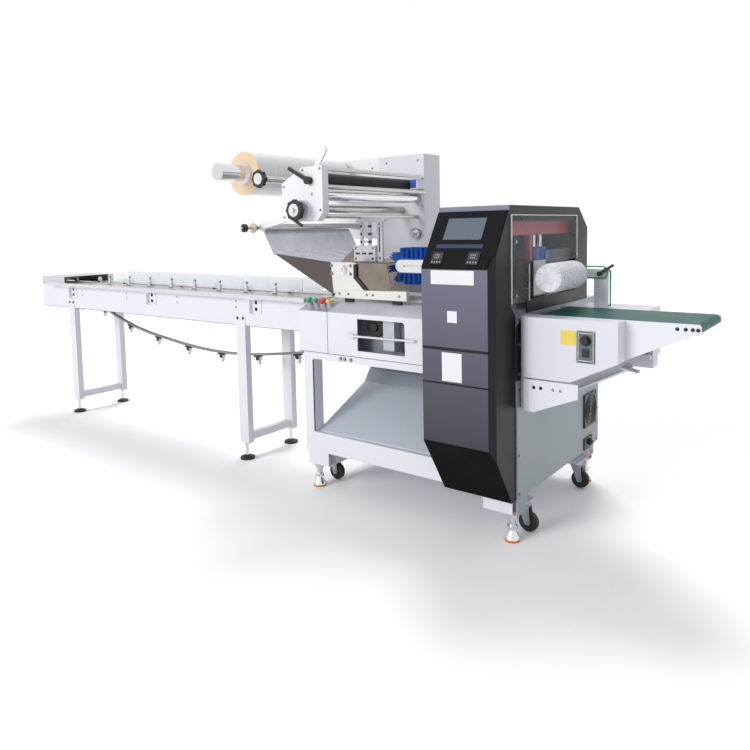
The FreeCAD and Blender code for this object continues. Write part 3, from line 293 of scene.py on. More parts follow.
housing_paint = finish("housing_paint", tint(228, 228, 238), 0.38, mottle=0.015, rounding=0.0015)
speed_plate = finish("speed_plate", tint(96, 108, 112), 0.4, 0.3, mottle=0.1, scale=25)
hub_metal = finish("hub_metal", tint(232, 232, 232), 0.25, 0.45, mottle=0.05, scale=30)
hanger_paint = finish("hanger_paint", tint(208, 208, 216), 0.4, 0.3, mottle=0.04)
fittings_steel = finish("fittings_steel", STEEL, 0.3, 0.9, mottle=0.08, scale=9, stretch=(1, 14, 14),
                        bump=0.08, zones=(
    (600, 2400, 40, 300, 834, 880, tint(228, 230, 232), 0.4, 0.0),
    (100, 2460, -50, -26, 810, 842, tint(214, 214, 218), 0.3, 0.5)))
film_wound = finish("film_wound", tint(240, 241, 240), 0.22, 0.08, mottle=0.05, scale=8, coat=0.4,
                    stretch=(1, 9, 1), zones=(
    (2060, 2290, -140, -129.5, 1290, 1510, tint(240, 212, 176), 0.45, 0.0),
    (2060, 2290, 509.5, 520, 1290, 1510, tint(240, 212, 176), 0.45, 0.0)))
film_sheet = finish("film_sheet", tint(206, 209, 220), 0.22, 0.25, alpha=0.62, mottle=0.25, scale=11,
                    stretch=(1, 1.5, 0.35), coat=0.3)
chain_steel = finish("chain_steel", tint(150, 150, 152), 0.34, 0.8, mottle=0.12, scale=40)
wheel_rubber = finish("wheel_rubber", tint(24, 24, 25), 0.6, mottle=0.1, scale=40)
fork_zinc = finish("fork_zinc", tint(160, 168, 174), 0.34, 0.7, mottle=0.1, scale=30)

FINISHES = {
    white_paint: ("leg_frames", "main_frame", "table_top", "outfeed_side_plates", "brush_post"),
    grey_paint: ("rear_enclosure",), pan_paint: ("drip_pan",),
    stainless: ("infeed_deck", "outfeed_bed"), fittings_steel: ("infeed_fittings",),
    rods_metal: ("head_rods",), chrome: ("foot_stems", "reel_shaft", "nip_roller"),
    tail_paint: ("tail_cover",), pad_rubber: ("foot_pads",),
    clear_plastic: ("product_guides",), white_plastic: ("hold_down_arm",),
    panel_with_rod_and_slant_shade: ("front_panel",), button_box_paint: ("button_box",), button_shell: ("push_buttons",),
    drive_metal: ("window_drive",), column_paint: ("film_column",), head_paint: ("head_plates",),
    black_knob: ("clamp_levers", "head_handwheel", "reel_handwheel"), wing_metal: ("former_shoulder",),
    cabinet_black_and_highlight: ("control_cabinet",), door_paint: ("cabinet_doors",), cover_black_and_lit_inside: ("seal_cover",),
    clear_pane: ("guard_window",), crosshead_paint: ("jaw_crosshead",), jaw_metal: ("jaw_housing",),
    green_belt: ("outfeed_belt",), film_wound: ("film_roll",),
    rubber: ("feed_roller",), jaw_steel: ("upper_jaw", "lower_jaw"),
}
for corner in ("front_left", "front_right", "rear_left", "rear_right"):
    FINISHES.setdefault(fork_zinc, []).append("caster_fork_" + corner)
    FINISHES.setdefault(wheel_rubber, []).append("caster_wheel_" + corner)
for material, names in FINISHES.items():
    for name in names:
        nodes[name].data.materials.clear()
        nodes[name].data.materials.append(material)


# ======================= Mesh helpers =======================
def place(mesh_or_bm, name, material, body):
    mesh = mesh_or_bm
    if isinstance(mesh_or_bm, bmesh.types.BMesh):
        mesh = bpy.data.meshes.new(name)
        mesh_or_bm.to_mesh(mesh)
        mesh_or_bm.free()
    piece = bpy.data.objects.new(name, mesh)
    bpy.context.scene.collection.objects.link(piece)
    if material:
        mesh.materials.clear()
        mesh.materials.append(material)
    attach(piece, body)
    return piece


def soften(piece, edge):
    bevel = piece.modifiers.new("soft_edges", "BEVEL")
    bevel.width = edge
    bevel.segments = 2


def add_block(bm, centre, size, turn=Matrix.Identity(4)):
    """A block in metres, turned about its centre."""
    made = bmesh.ops.create_cube(bm, size=1.0)
    shape = Matrix.Translation(centre) @ turn @ Matrix.Diagonal((*size, 1.0))
    bmesh.ops.transform(bm, matrix=shape, verts=made["verts"])


def blocks(name, spans, material, body="machine", edge=0.0008):
    """Blocks with softened edges, each (x0, x1, y0, y1, z0, z1)."""
    bm = bmesh.new()
    for x0, x1, y0, y1, z0, z1 in spans:
        low, high = at(x0, y0, z0), at(x1, y1, z1)
        add_block(bm, (low + high) / 2, high - low)
    piece = place(bm, name, material, body)
    if edge:
        soften(piece, edge)
    return piece


def prism(bm, low_spots, high_spots):
    """Walls between two matching outlines, and an end on each."""
    low, high = ([bm.verts.new(at(*spot)) for spot in spots] for spots in (low_spots, high_spots))
    for i in range(len(low)):
        j = (i + 1) % len(low)
        bm.faces.new((low[i], low[j], high[j], high[i]))
    bm.faces.new(low[::-1])
    bm.faces.new(high)


def extruded(name, items, material, body="machine", edge=0.0008):
    """Flat outlines pushed along an axis: (axis, outline, low, high), the outline in the other two axes."""
    bm = bmesh.new()
    for axis, outline, low, high in items:
        spread = {"X": lambda level, u, v: (level, u, v), "Y": lambda level, u, v: (u, level, v),
                  "Z": lambda level, u, v: (u, v, level)}[axis]
        prism(bm, *([spread(level, u, v) for u, v in outline] for level in (low, high)))
    bmesh.ops.recalc_face_normals(bm, faces=bm.faces)
    piece = place(bm, name, material, body)
    soften(piece, edge)
    return piece


def lathes(name, items, material, body="machine", segments=32):
    """Turned pieces: (centre, axis, profile), the profile as (distance along the axis, radius)."""
    bm = bmesh.new()
    for (x, y, z), axis, profile in items:
        rings = []
        for reach, radius in profile:
            ring = []
            for i in range(segments):
                u, v = radius * cos(2 * pi * i / segments), radius * sin(2 * pi * i / segments)
                spot = {"X": (x + reach, y + u, z + v), "Y": (x + u, y + reach, z + v),
                        "Z": (x + u, y + v, z + reach)}[axis]
                ring.append(bm.verts.new(at(*spot)))
            rings.append(ring)
        for lower, upper in zip(rings, rings[1:]):
            for i in range(segments):
                j = (i + 1) % segments
                bm.faces.new((lower[i], lower[j], upper[j], upper[i]))
        bm.faces.new(rings[0])
        bm.faces.new(rings[-1][::-1])
    bmesh.ops.recalc_face_normals(bm, faces=bm.faces)
    piece = place(bm, name, material, body)
    piece.data.shade_smooth()
    piece.data.set_sharp_from_angle(angle=radians(35))
    return piece


def geometry_tree(name, inputs):
    mesh_socket = ("Geometry", "NodeSocketGeometry")
    inputs = ((*mesh_socket, None), *inputs, ("Material", "NodeSocketMaterial", None))
    return new_tree(name, "GeometryNodeTree", inputs, (mesh_socket,))


def joined(tree, parts):
    join = tree.nodes.new("GeometryNodeJoinGeometry")
    for part in parts:
        tree.links.new(part.outputs[0], join.inputs[0])
    return join


def finish_tree(tree, given, end, points, instance, rotation):
    """The instance on every point, made real and painted."""
    feeds = {"Points": points, "Instance": instance.outputs[0], "Rotation": rotation}
    spread = wired(tree, "GeometryNodeInstanceOnPoints", feeds)
    real = wired(tree, "GeometryNodeRealizeInstances", {0: spread.outputs[0]})
    feeds = {"Geometry": real.outputs[0], "Material": given["Material"]}
    paint = wired(tree, "GeometryNodeSetMaterial", feeds)
    tree.links.new(paint.outputs[0], end.inputs[0])
    return tree


def facing_rotation(tree):
    facing = wired(tree, "GeometryNodeInputNamedAttribute", {"Name": "facing"}, data_type="FLOAT_VECTOR")
    feeds = {"Vector": facing.outputs["Attribute"]}
    return wired(tree, "FunctionNodeAlignRotationToVector", feeds, axis="Z").outputs[0]


def round_bar(tree, radius, length, sides):
    feeds = {"Radius": radius, "Depth": length, "Vertices": sides}
    return wired(tree, "GeometryNodeMeshCylinder", feeds)


def moved(tree, part, **feeds):
    return wired(tree, "GeometryNodeTransform", {"Geometry": part.outputs[0], **feeds})


def build_bolt_tree():
    """A washer and a head on every point, square to its facing."""
    tree, given, end = geometry_tree("bolt_heads", (
        ("Head Radius", "NodeSocketFloat", 0.004), ("Head Height", "NodeSocketFloat", 0.003),
        ("Washer Radius", "NodeSocketFloat", 0.006), ("Sides", "NodeSocketInt", 6)))
    washer = round_bar(tree, given["Washer Radius"], 0.0016, 16)
    head = round_bar(tree, given["Head Radius"], given["Head Height"], given["Sides"])
    rise = wired(tree, "ShaderNodeCombineXYZ", {"Z": maths(tree, "MULTIPLY", given["Head Height"], 0.5)})
    bolt = joined(tree, (washer, moved(tree, head, Translation=rise.outputs[0])))
    return finish_tree(tree, given, end, given["Geometry"], bolt, facing_rotation(tree))


def build_tuft_tree():
    """A tapered bristle on every point, standing along its facing with a small seeded lean."""
    tree, given, end = geometry_tree("bristle_tufts", (
        ("Length", "NodeSocketFloat", 0.03), ("Root Radius", "NodeSocketFloat", 0.002),
        ("Tip Radius", "NodeSocketFloat", 0.0005), ("Lean", "NodeSocketFloat", 0.12),
        ("Seed", "NodeSocketInt", 7)))
    bristle = wired(tree, "GeometryNodeMeshCone", {
        "Vertices": 4, "Depth": given["Length"], "Radius Bottom": given["Root Radius"],
        "Radius Top": given["Tip Radius"]})
    swing = wired(tree, "FunctionNodeRandomValue", {"Min": (-1.0, -1.0, -1.0), "Seed": given["Seed"]},
                  data_type="FLOAT_VECTOR")
    lean = wired(tree, "ShaderNodeVectorMath", {0: swing.outputs["Value"], "Scale": given["Lean"]},
                 operation="SCALE")
    turned = wired(tree, "FunctionNodeEulerToRotation", {0: lean.outputs[0]})
    feeds = {"Rotation": facing_rotation(tree), "Rotate By": turned.outputs[0]}
    rotate = wired(tree, "FunctionNodeRotateRotation", feeds, rotation_space="LOCAL")
    return finish_tree(tree, given, end, given["Geometry"], bristle, rotate.outputs[0])


def build_link_tree():
    """Roller chain links: two side plates and a roller at every pitch along a loop."""
    tree, given, end = geometry_tree("chain_links", (
        ("Pitch", "NodeSocketFloat", 0.0127), ("Plate Height", "NodeSocketFloat", 0.011),
        ("Width", "NodeSocketFloat", 0.017), ("Roller Radius", "NodeSocketFloat", 0.004)))
    feeds = {"Curve": given["Geometry"], "Length": given["Pitch"]}
    pins = wired(tree, "GeometryNodeResampleCurve", feeds, mode="LENGTH")
    tangent = wired(tree, "GeometryNodeInputTangent").outputs[0]
    along_loop = wired(tree, "FunctionNodeAlignRotationToVector", {"Vector": tangent}, axis="X",
                       pivot_axis="Y")
    feeds = {"X": maths(tree, "MULTIPLY", given["Pitch"], 0.86), "Y": 0.003, "Z": given["Plate Height"]}
    size = wired(tree, "ShaderNodeCombineXYZ", feeds)
    plate = wired(tree, "GeometryNodeMeshCube", {"Size": size.outputs[0]})
    parts = []
    for side in (-0.41, 0.41):
        offset = wired(tree, "ShaderNodeCombineXYZ", {"Y": maths(tree, "MULTIPLY", given["Width"], side)})
        parts.append(moved(tree, plate, Translation=offset.outputs[0]))
    roller = round_bar(tree, given["Roller Radius"], given["Width"], 8)
    parts.append(moved(tree, roller, Rotation=(radians(90), 0, 0)))
    return finish_tree(tree, given, end, pins.outputs[0], joined(tree, parts), along_loop.outputs[0])


BOLT_HEADS = build_bolt_tree()
BRISTLE_TUFTS = build_tuft_tree()
CHAIN_LINKS = build_link_tree()


def grow(name, source, tree, values, material, body="machine"):
    """Runs a geometry tree over a source object and keeps the result as a plain mesh piece."""
    bpy.context.scene.collection.objects.link(source)
    modifier = source.modifiers.new("grow", "NODES")
    modifier.node_group = tree
    keys = {item.name: item.identifier for item in tree.interface.items_tree if item.in_out == "INPUT"}
    for label, value in {**values, "Material": material}.items():
        modifier[keys[label]] = value
    depsgraph = bpy.context.evaluated_depsgraph_get()
    depsgraph.update()
    mesh = bpy.data.meshes.new_from_object(source.evaluated_get(depsgraph))
    mesh.name = name
    bpy.data.objects.remove(source)
    return place(mesh, name, material, body)


def point_source(name, spots):
    """Points with a facing, from (location, direction) pairs."""
    mesh = bpy.data.meshes.new(name + "_points")
    mesh.from_pydata([tuple(p) for p, _ in spots], [], [])
    facing = mesh.attributes.new("facing", "FLOAT_VECTOR", "POINT")
    facing.data.foreach_set("vector", [v for _, d in spots for v in Vector(d).normalized()])
    return bpy.data.objects.new(name + "_points", mesh)


def bolts(name, spots, material, head=0.004, height=0.003, washer=0.006, sides=6, body="machine"):
    grow(name, point_source(name, [(at(*p), d) for p, d in spots]), BOLT_HEADS,
         {"Head Radius": head, "Head Height": height, "Washer Radius": washer, "Sides": sides},
         material, body)


FRONT = (0, -1, 0)
REAR = (0, 1, 0)
RIGHT = (1, 0, 0)


def both_sides(spots, front, rear):
    """Bolt places on a front face and again on the face behind it."""
    return [((x, front, z), FRONT) for x, z in spots] + [((x, rear, z), REAR) for x, z in spots]


# ======================= Infeed =======================
BEAM_END, BEAM_LOW = 2479, 677
SHEET, FLANGE = 3, 30
BRACKETS = (400, 1238, 2085)
BRACKET_HALF = 35
beam_spans = []
for face, inward in ((BEAM_FRONT, 1), (BEAM_REAR, -1)):
    web_low, web_high = sorted((face, face + inward * SHEET))
    flange_low, flange_high = sorted((face, face + inward * FLANGE))
    beam_spans += [(0, BEAM_END, web_low, web_high, BEAM_LOW, DECK_LEVEL),
                   (0, BEAM_END, flange_low, flange_high, BEAM_LOW, BEAM_LOW + SHEET),
                   (0, BEAM_END, flange_low, flange_high, DECK_LEVEL - SHEET, DECK_LEVEL)]
for x in BRACKETS:
    left, right = x - BRACKET_HALF, x + BRACKET_HALF
    beam_spans += [(left, right, -4, 0.5, 742, DECK_LEVEL), (left, left + 5, -20, -3, 742, 815),
                   (left, right, -45, 0.5, 814, 818)]
beams = blocks("beam_channels", beam_spans, white_paint, edge=0.0006)
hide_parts("infeed_beams")

bolts("bracket_bolts", [((x, -4.6, z), FRONT) for x in BRACKETS for z in (765, 797)],
      dark_bolt, 0.0055, 0.004, 0.009)
beam_screws = [(x, z) for x in (498, 982, 1460, 1936) for z in (767, 797)]
bolts("beam_screws", both_sides(beam_screws, -0.6, 340.6), bolt_steel, 0.003, 0.002, 0.0045, 12)
bolts("leg_screws", both_sides([(x, 714) for x in (345, 385, 1947, 1987)], -3.6, 343.6),
      dark_bolt, 0.005, 0.004, 0.007)
guide_bolts = []
for i in range(8):
    x = 667 + i * 208
    guide_bolts += [((x, 94.4, 880), FRONT), ((x, 245.6, 880), REAR)]
bolts("guide_bolts", guide_bolts, bolt_steel, 0.005, 0.004, 0.008)

CHAIN_TOP, SPROCKET_R, CHAIN_HALF = 812, 52, 6
WHEEL_Z = CHAIN_TOP - SPROCKET_R - CHAIN_HALF
RIDE_R = SPROCKET_R + CHAIN_HALF + 0.3
SAG = ((450, 676), (545, 637), (675, 598), (809, 564), (955, 538), (1104, 520), (1250, 503), (1398, 490),
       (1540, 484), (1676, 484), (1820, 491), (1959, 505), (2085, 520), (2202, 537), (2340, 562), (2480, 600))


def sweep(centre, radius, start, stop, steps):
    return [(centre[0] + radius * cos(radians(start + (stop - start) * i / steps)),
             centre[1] + radius * sin(radians(start + (stop - start) * i / steps))) for i in range(steps + 1)]


TAIL_SPROCKET, DRIVE_SPROCKET = 110, 2640
chain_loop = (sweep((TAIL_SPROCKET, WHEEL_Z), RIDE_R, 90, 262, 20) + list(SAG) +
              sweep((DRIVE_SPROCKET, WHEEL_Z), RIDE_R, -82, 90, 20))


def loop_curve(name, points, y):
    curve = bpy.data.curves.new(name, "CURVE")
    curve.dimensions = "3D"
    spline = curve.splines.new("POLY")
    spline.points.add(len(points) - 1)
    for point, (x, z) in zip(spline.points, points):
        point.co = (*at(x, y, z), 1.0)
    spline.use_cyclic_u = True
    return bpy.data.objects.new(name, curve)


CHAIN_Y = 170
chain = grow("chain_link_row", loop_curve("chain_line", chain_loop, CHAIN_Y), CHAIN_LINKS,
             {"Pitch": 0.0127, "Plate Height": 0.0115, "Width": 0.0175, "Roller Radius": 0.0045},
             chain_steel)
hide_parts("lug_chain")


def along(points, distance):
    for i, (x, z) in enumerate(points):
        nx, nz = points[(i + 1) % len(points)]
        run = hypot(nx - x, nz - z)
        if distance <= run:
            share = distance / run
            return x + share * (nx - x), z + share * (nz - z), (nx - x) / run, (nz - z) / run
        distance -= run
    return points[0][0], points[0][1], 1.0, 0.0


loop_length = sum(hypot(chain_loop[i][0] - chain_loop[i - 1][0], chain_loop[i][1] - chain_loop[i - 1][1])
                  for i in range(len(chain_loop)))
PUSHER_PITCH, PUSHER_PHASE = 287, 0.92
PUSHER_OUTLINE = ((-16, 6.3), (16, 6.3), (7, 54), (-8, 54))
lug_count = int(loop_length // PUSHER_PITCH)
clip_bm = bmesh.new()
pushers = []
for i in range(lug_count):
    x, z, dx, dz = along(chain_loop, (i + PUSHER_PHASE) * loop_length / lug_count)
    nx, nz = dz, -dx
    outline = [(x + run * dx + out * nx, z + run * dz + out * nz) for run, out in PUSHER_OUTLINE]
    pushers.append(("Y", outline, CHAIN_Y - 8, CHAIN_Y + 8))
    turn = Matrix(((dx, 0, nx, 0), (0, 1, 0, 0), (dz, 0, nz, 0), (0, 0, 0, 1)))
    for size, out in (((0.044, 0.027, 0.008), 9.0), ((0.02, 0.024, 0.022), 19.0)):
        add_block(clip_bm, at(x + out * nx, CHAIN_Y, z + out * nz), size, turn)
place(clip_bm, "pusher_clips", dark_steel, "machine")
fingers = extruded("pusher_fingers", pushers, white_plastic, edge=0.002)
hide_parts("chain_pushers")

# ======================= Brushes =======================
ARM = ((2912.0, 985.0), (3128.0, 985.0))
ARM_R = 26.0
BELT_BRISTLE = 50.0


def stadium_point(distance, radius):
    """Point and outward direction on the belt outline at a distance along the arm's edge."""
    straight = ARM[1][0] - ARM[0][0]
    bend = pi * ARM_R
    distance %= 2 * (straight + bend)
    if distance < straight:
        return (ARM[0][0] + distance, ARM[0][1] + radius), (0.0, 1.0)
    distance -= straight
    if distance < bend:
        a = pi / 2 - distance / ARM_R
        return (ARM[1][0] + radius * cos(a), ARM[1][1] + radius * sin(a)), (cos(a), sin(a))
    distance -= bend
    if distance < straight:
        return (ARM[1][0] - distance, ARM[1][1] - radius), (0.0, -1.0)
    distance -= straight
    a = -pi / 2 - distance / ARM_R
    return (ARM[0][0] + radius * cos(a), ARM[0][1] + radius * sin(a)), (cos(a), sin(a))


belt_run = 2 * (ARM[1][0] - ARM[0][0] + pi * ARM_R)
tufts = []
ROWS = 26
for row in range(ROWS):
    for lane in range(3):
        (x, z), (ox, oz) = stadium_point((row + 0.16 * (lane - 1)) * belt_run / ROWS, ARM_R + 3)
        for step in range(22):
            y = 51 + step * 4.0 + lane * 1.3
            tufts.append((at(x, y, z), (ox, 0.0, oz)))
belt_tufts = grow("belt_tufts", point_source("belt_tufts", tufts), BRISTLE_TUFTS,
                  {"Length": BELT_BRISTLE / 1000 - 0.003, "Root Radius": 0.0034, "Tip Radius": 0.0016,
                   "Lean": 0.07, "Seed": 11}, blue_tuft)
belt_bm = bmesh.new()
rings = []
BACK_STEPS = 72
for step in range(BACK_STEPS):
    ring = []
    for radius in (ARM_R + 0.5, ARM_R + 4.5):
        (x, z), _ = stadium_point(step * belt_run / BACK_STEPS, radius)
        ring += [belt_bm.verts.new(at(x, 47, z)), belt_bm.verts.new(at(x, 143, z))]
    rings.append((ring[0], ring[1], ring[3], ring[2]))
for ring, after in zip(rings, rings[1:] + rings[:1]):
    for i in range(4):
        belt_bm.faces.new((ring[i], after[i], after[(i + 1) % 4], ring[(i + 1) % 4]))
bmesh.ops.recalc_face_normals(belt_bm, faces=belt_bm.faces)
place(belt_bm, "brush_belt_back", blue_tuft, "machine")
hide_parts("brush_belt")

BRUSH = (3577.0, 957.0)
BRUSH_FRONT, BRUSH_END = -14.0, 208.0
BRUSH_HUB, TUFT_ROOT = 24, 20
TUFTS_ROUND, TUFTS_LONG = 56, 32
SPLAYED, SPLAY = 0.08, 0.55
brush_spots = []
for i in range(TUFTS_ROUND):
    for j in range(TUFTS_LONG):
        a = 2 * pi * (i + 0.5 * (j % 2) + 0.12 * j) / TUFTS_ROUND
        share = j / (TUFTS_LONG - 1)
        spread = 0.0
        if share < SPLAYED:
            spread = -SPLAY * (SPLAYED - share) / SPLAYED
        if share > 1 - SPLAYED:
            spread = SPLAY * (share - 1 + SPLAYED) / SPLAYED
        y = BRUSH_FRONT + 4 + (BRUSH_END - BRUSH_FRONT - 8) * share
        spot = at(BRUSH[0] + TUFT_ROOT * cos(a), y, BRUSH[1] + TUFT_ROOT * sin(a))
        brush_spots.append((spot, (cos(a), spread, sin(a))))
grow("brush_tufts", point_source("brush_tufts", brush_spots), BRISTLE_TUFTS,
     {"Length": 0.0315, "Root Radius": 0.0022, "Tip Radius": 0.0034, "Lean": 0.07, "Seed": 5},
     white_tuft, "brush_roll")
core = bmesh.new()
for y0, y1, radius in ((BRUSH_FRONT, BRUSH_END, BRUSH_HUB), (BRUSH_END, 326, 8),
                       (BRUSH_FRONT - 3, BRUSH_FRONT, 9)):
    made = bmesh.ops.create_cone(core, cap_ends=True, segments=40, radius1=radius / 1000,
                                 radius2=radius / 1000, depth=(y1 - y0) / 1000)
    laid = Matrix.Translation(at(BRUSH[0], (y0 + y1) / 2, BRUSH[1])) @ Matrix.Rotation(pi / 2, 4, "X")
    bmesh.ops.transform(core, matrix=laid, verts=made["verts"])
brush_core = place(core, "brush_core", brush_hub, "brush_roll")
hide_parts("outfeed_brush")

# ======================= Film web =======================
def wavy_film():
    """Thin film from the guide roller over the shoulder, gathered into soft pleats."""
    bm = bmesh.new()
    columns, drop_rows, ramp_rows = 64, 6, 22
    grid = []
    top_x, top_z, lip_x, lip_z, throat_x, throat_z = 2290.5, 1138.0, 2344.0, 1041.0, 2562.0, 1001.0
    for row in range(drop_rows + ramp_rows + 1):
        line = []
        for column in range(columns + 1):
            across = column / columns
            if row <= drop_rows:
                t = row / drop_rows
                x, z = top_x + t * (lip_x - top_x), top_z + t * (lip_z - top_z)
                y = -130 + 600 * across
                strength = t
            else:
                t = (row - drop_rows) / ramp_rows
                x, z = lip_x + t * (throat_x - lip_x), lip_z + t * (throat_z - lip_z)
                y = (-130 + 130 * t) + (600 - 260 * t) * across
                strength = 1 - t
            broad = noise.noise(Vector((across * 9.0, row * 0.06, 2.0)))
            ripple = broad + 0.4 * noise.noise(Vector((across * 23.0, row * 0.1, 7.0)))
            edge = min(1.0, min(across, 1 - across) * 8)
            spot = at(x + 3 * strength * ripple * edge, y, z + 7 * strength * ripple * edge)
            line.append(bm.verts.new(spot))
        grid.append(line)
    for upper, lower in zip(grid, grid[1:]):
        for i in range(columns):
            bm.faces.new((upper[i], lower[i], lower[i + 1], upper[i + 1]))
    for face in bm.faces:
        face.smooth = True
    bmesh.ops.recalc_face_normals(bm, faces=bm.faces)
    return bm


film = place(wavy_film(), "film_pleats", film_sheet, "machine")
skin = film.modifiers.new("film_thickness", "SOLIDIFY")
skin.thickness = 0.0008
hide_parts("film_web")

# ======================= Small fittings =======================
bolts("head_plate_screws", [((x, -200.6, z), FRONT) for x, z in
                            ((2492, 1196), (2492, 1322), (2694, 1220), (2694, 1385), (2600, 1385))],
      bolt_steel, 0.0035, 0.0025, 0.005, 12)
bolts("cheek_bolts", both_sides(((2576, 985), (2682, 985), (2682, 950), (2578, 950)), -6.6, 346.6),
      bolt_steel, 0.0055, 0.004, 0.008)
bolts("rail_bolts", both_sides([(x, 865) for x in (2625, 2674, 2774, 2806, 2940)], -14.6, 354.6),
      bolt_steel, 0.004, 0.003, 0.006, 12)
bolts("skirt_screws", [((x, -101.6, 589), FRONT) for x in (3558, 3583)], dark_bolt, 0.005, 0.003, 0.006, 12)
bolts("skirt_pins", [((x, -101.6, 588), FRONT) for x in (3626, 3652)], bolt_steel, 0.0035, 0.003, 0.005, 12)
bolts("belt_tension_screws", both_sides([(x, 813) for x in (3996, 4020, 4040, 4055)], -30.6, 266.6),
      dark_bolt, 0.004, 0.003, 0.006)
bolts("end_panel_screws", [((3493.6, -78, z), RIGHT) for z in (812, 728, 624, 564, 330, 190)] +
      [((3493.6, 704, z), RIGHT) for z in (800, 560, 330, 190)], bolt_steel, 0.005, 0.003, 0.007)
bolts("pane_studs", [((3491.6, y, z), RIGHT) for y, z in
                     ((-108, 1086), (-108, 900), (440, 1099), (440, 1022))],
      bolt_steel, 0.006, 0.008, 0.008, 12)
bolts("column_screws", [((x, 557.4, z), FRONT) for x, z in ((2380, 1450), (2470, 1470), (2660, 1470))],
      bolt_steel, 0.004, 0.003, 0.006, 12)
bolts("fan_screws", [((3501.6, y, z), RIGHT) for y in (550, 670) for z in (284, 408)],
      bolt_steel, 0.003, 0.002, 0.005, 12)

blocks("cabinet_bare_plates", [(3254, 3422, -267.4, -266, 946, 994), (3318, 3356, -267.2, -266, 816, 856),
                               (3295, 3373, -267.2, -266, 612, 712)],
       bare_plate, edge=0.0004)
blocks("yellow_bare_plate", [(3652, 3704, -102.2, HOUSING_FACE, 746, 794)],
       yellow_plate, edge=0.0004)
blocks("pane_edges", [(3489, 3493, -131, -127, 873, 1179), (3489, 3493, 463, 467, 1005, 1179),
                      (3489, 3493, 11, 15, 873, 1005), (3489, 3493, -127, 463, 1176, 1179)],
       pane_edge, edge=0.0006)

# ======================= Console and lower cabinet =======================
CONSOLE_FOOT = (-263.0, 999.0)
CONSOLE_RUN = (122.0, 195.0)
console_length = hypot(*CONSOLE_RUN)
tilt = (CONSOLE_RUN[0] / console_length, CONSOLE_RUN[1] / console_length)
CONSOLE_TURN = Matrix(((1, 0, 0, 0), (0, tilt[0], -tilt[1], 0), (0, tilt[1], tilt[0], 0), (0, 0, 0, 1)))
FACE = 5.2


def console_blocks(name, spans, material, edge=0.0006):
    """Blocks on the console: (x0, x1, up0, up1, out0, out1), out measured from its face."""
    bm = bmesh.new()
    for x0, x1, u0, u1, n0, n1 in spans:
        u, n = (u0 + u1) / 2, (n0 + n1) / 2 + FACE
        spot = at((x0 + x1) / 2, CONSOLE_FOOT[0] + u * tilt[0] - n * tilt[1],
                  CONSOLE_FOOT[1] + u * tilt[1] + n * tilt[0])
        add_block(bm, spot, ((x1 - x0) / 1000, (u1 - u0) / 1000, (n1 - n0) / 1000), CONSOLE_TURN)
    piece = place(bm, name, material, "machine")
    soften(piece, edge)
    return piece


console_blocks("console_face", [(3214, 3470, 3, 40, -7.2, 0), (3214, 3485, 36, 227, -7.2, 0)],
               panel_black, 0.001)
console_blocks("screen_glass_face", [(3268, 3418, 112, 198, 0, 0.8)], screen_glass)
console_blocks("title_strip", [(3250, 3432, 78, 93, 0, 0.6)], title_blue, 0.0002)
bodies, windows, keys, digits = [], [], [], []
for x in (3247, 3387):
    bodies.append((x, x + 46, 14, 63, 0, 3))
    windows.append((x + 5, x + 41, 32, 56, 3, 3.6))
    keys += [(x + 5 + i * 10, x + 11 + i * 10, 18, 25, 3, 4.4) for i in range(4)]
    digits += [(x + 12 + i * 7, x + 17 + i * 7, u, u + 5, 3.6, 3.9) for i in range(3) for u in (37, 47)]
controllers = console_blocks("controller_bodies", bodies, screen_face)
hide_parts("console_instruments")
console_blocks("controller_windows", windows, controller_glass)
console_blocks("controller_keys", keys, controller_key)
console_blocks("controller_digits", digits, controller_key, 0.0002)

# A thin near-black panel over the cabinet's slanted, downward-facing foot, lifted out along the slant's
# normal: painted shade for the shade under the cabinet
FOOT_CORNERS = ((3213.5, -124, 171), (3486.5, -124, 171), (3486.5, -235, 344.3), (3471, -263, 388),
                (3213.5, -263, 388))
FOOT_NORMAL = (-0.842, -0.539)
foot_bm = bmesh.new()
prism(foot_bm, *([(x, y + FOOT_NORMAL[0] * out, z + FOOT_NORMAL[1] * out) for x, y, z in FOOT_CORNERS]
                 for out in (-0.5, 1.6)))
bmesh.ops.recalc_face_normals(foot_bm, faces=foot_bm.faces)
place(foot_bm, "cabinet_foot_panel", foot_painted_shade, "machine")


# ======================= Round drive belts =======================
def round_belt(name, points, radius):
    """A closed round belt through the points."""
    curve = bpy.data.curves.new(name, "CURVE")
    curve.dimensions = "3D"
    curve.bevel_depth = radius / 1000
    curve.bevel_resolution = 3
    spline = curve.splines.new("POLY")
    spline.points.add(len(points) - 1)
    for point, spot in zip(spline.points, points):
        point.co = (*at(*spot), 1.0)
    spline.use_cyclic_u = True
    holder = bpy.data.objects.new(name + "_line", curve)
    bpy.context.scene.collection.objects.link(holder)
    mesh = bpy.data.meshes.new_from_object(holder)
    bpy.data.objects.remove(holder)
    for face in mesh.polygons:
        face.use_smooth = True
    place(mesh, name, green_round_belt, "machine")


arm_loop = [(x, 294, z) for x, z in sweep((3577, 960), 22, 90, 270, 12) + sweep((3652, 960), 22, -90, 90, 12)]
round_belt("brush_round_belt", arm_loop, 3.0)
post_loop = [(x, 316, z) for x, z in sweep((3661, 957), 16, 0, 180, 12) + [(3645, 834), (3677, 834)]]
round_belt("post_round_belt", post_loop, 3.5)

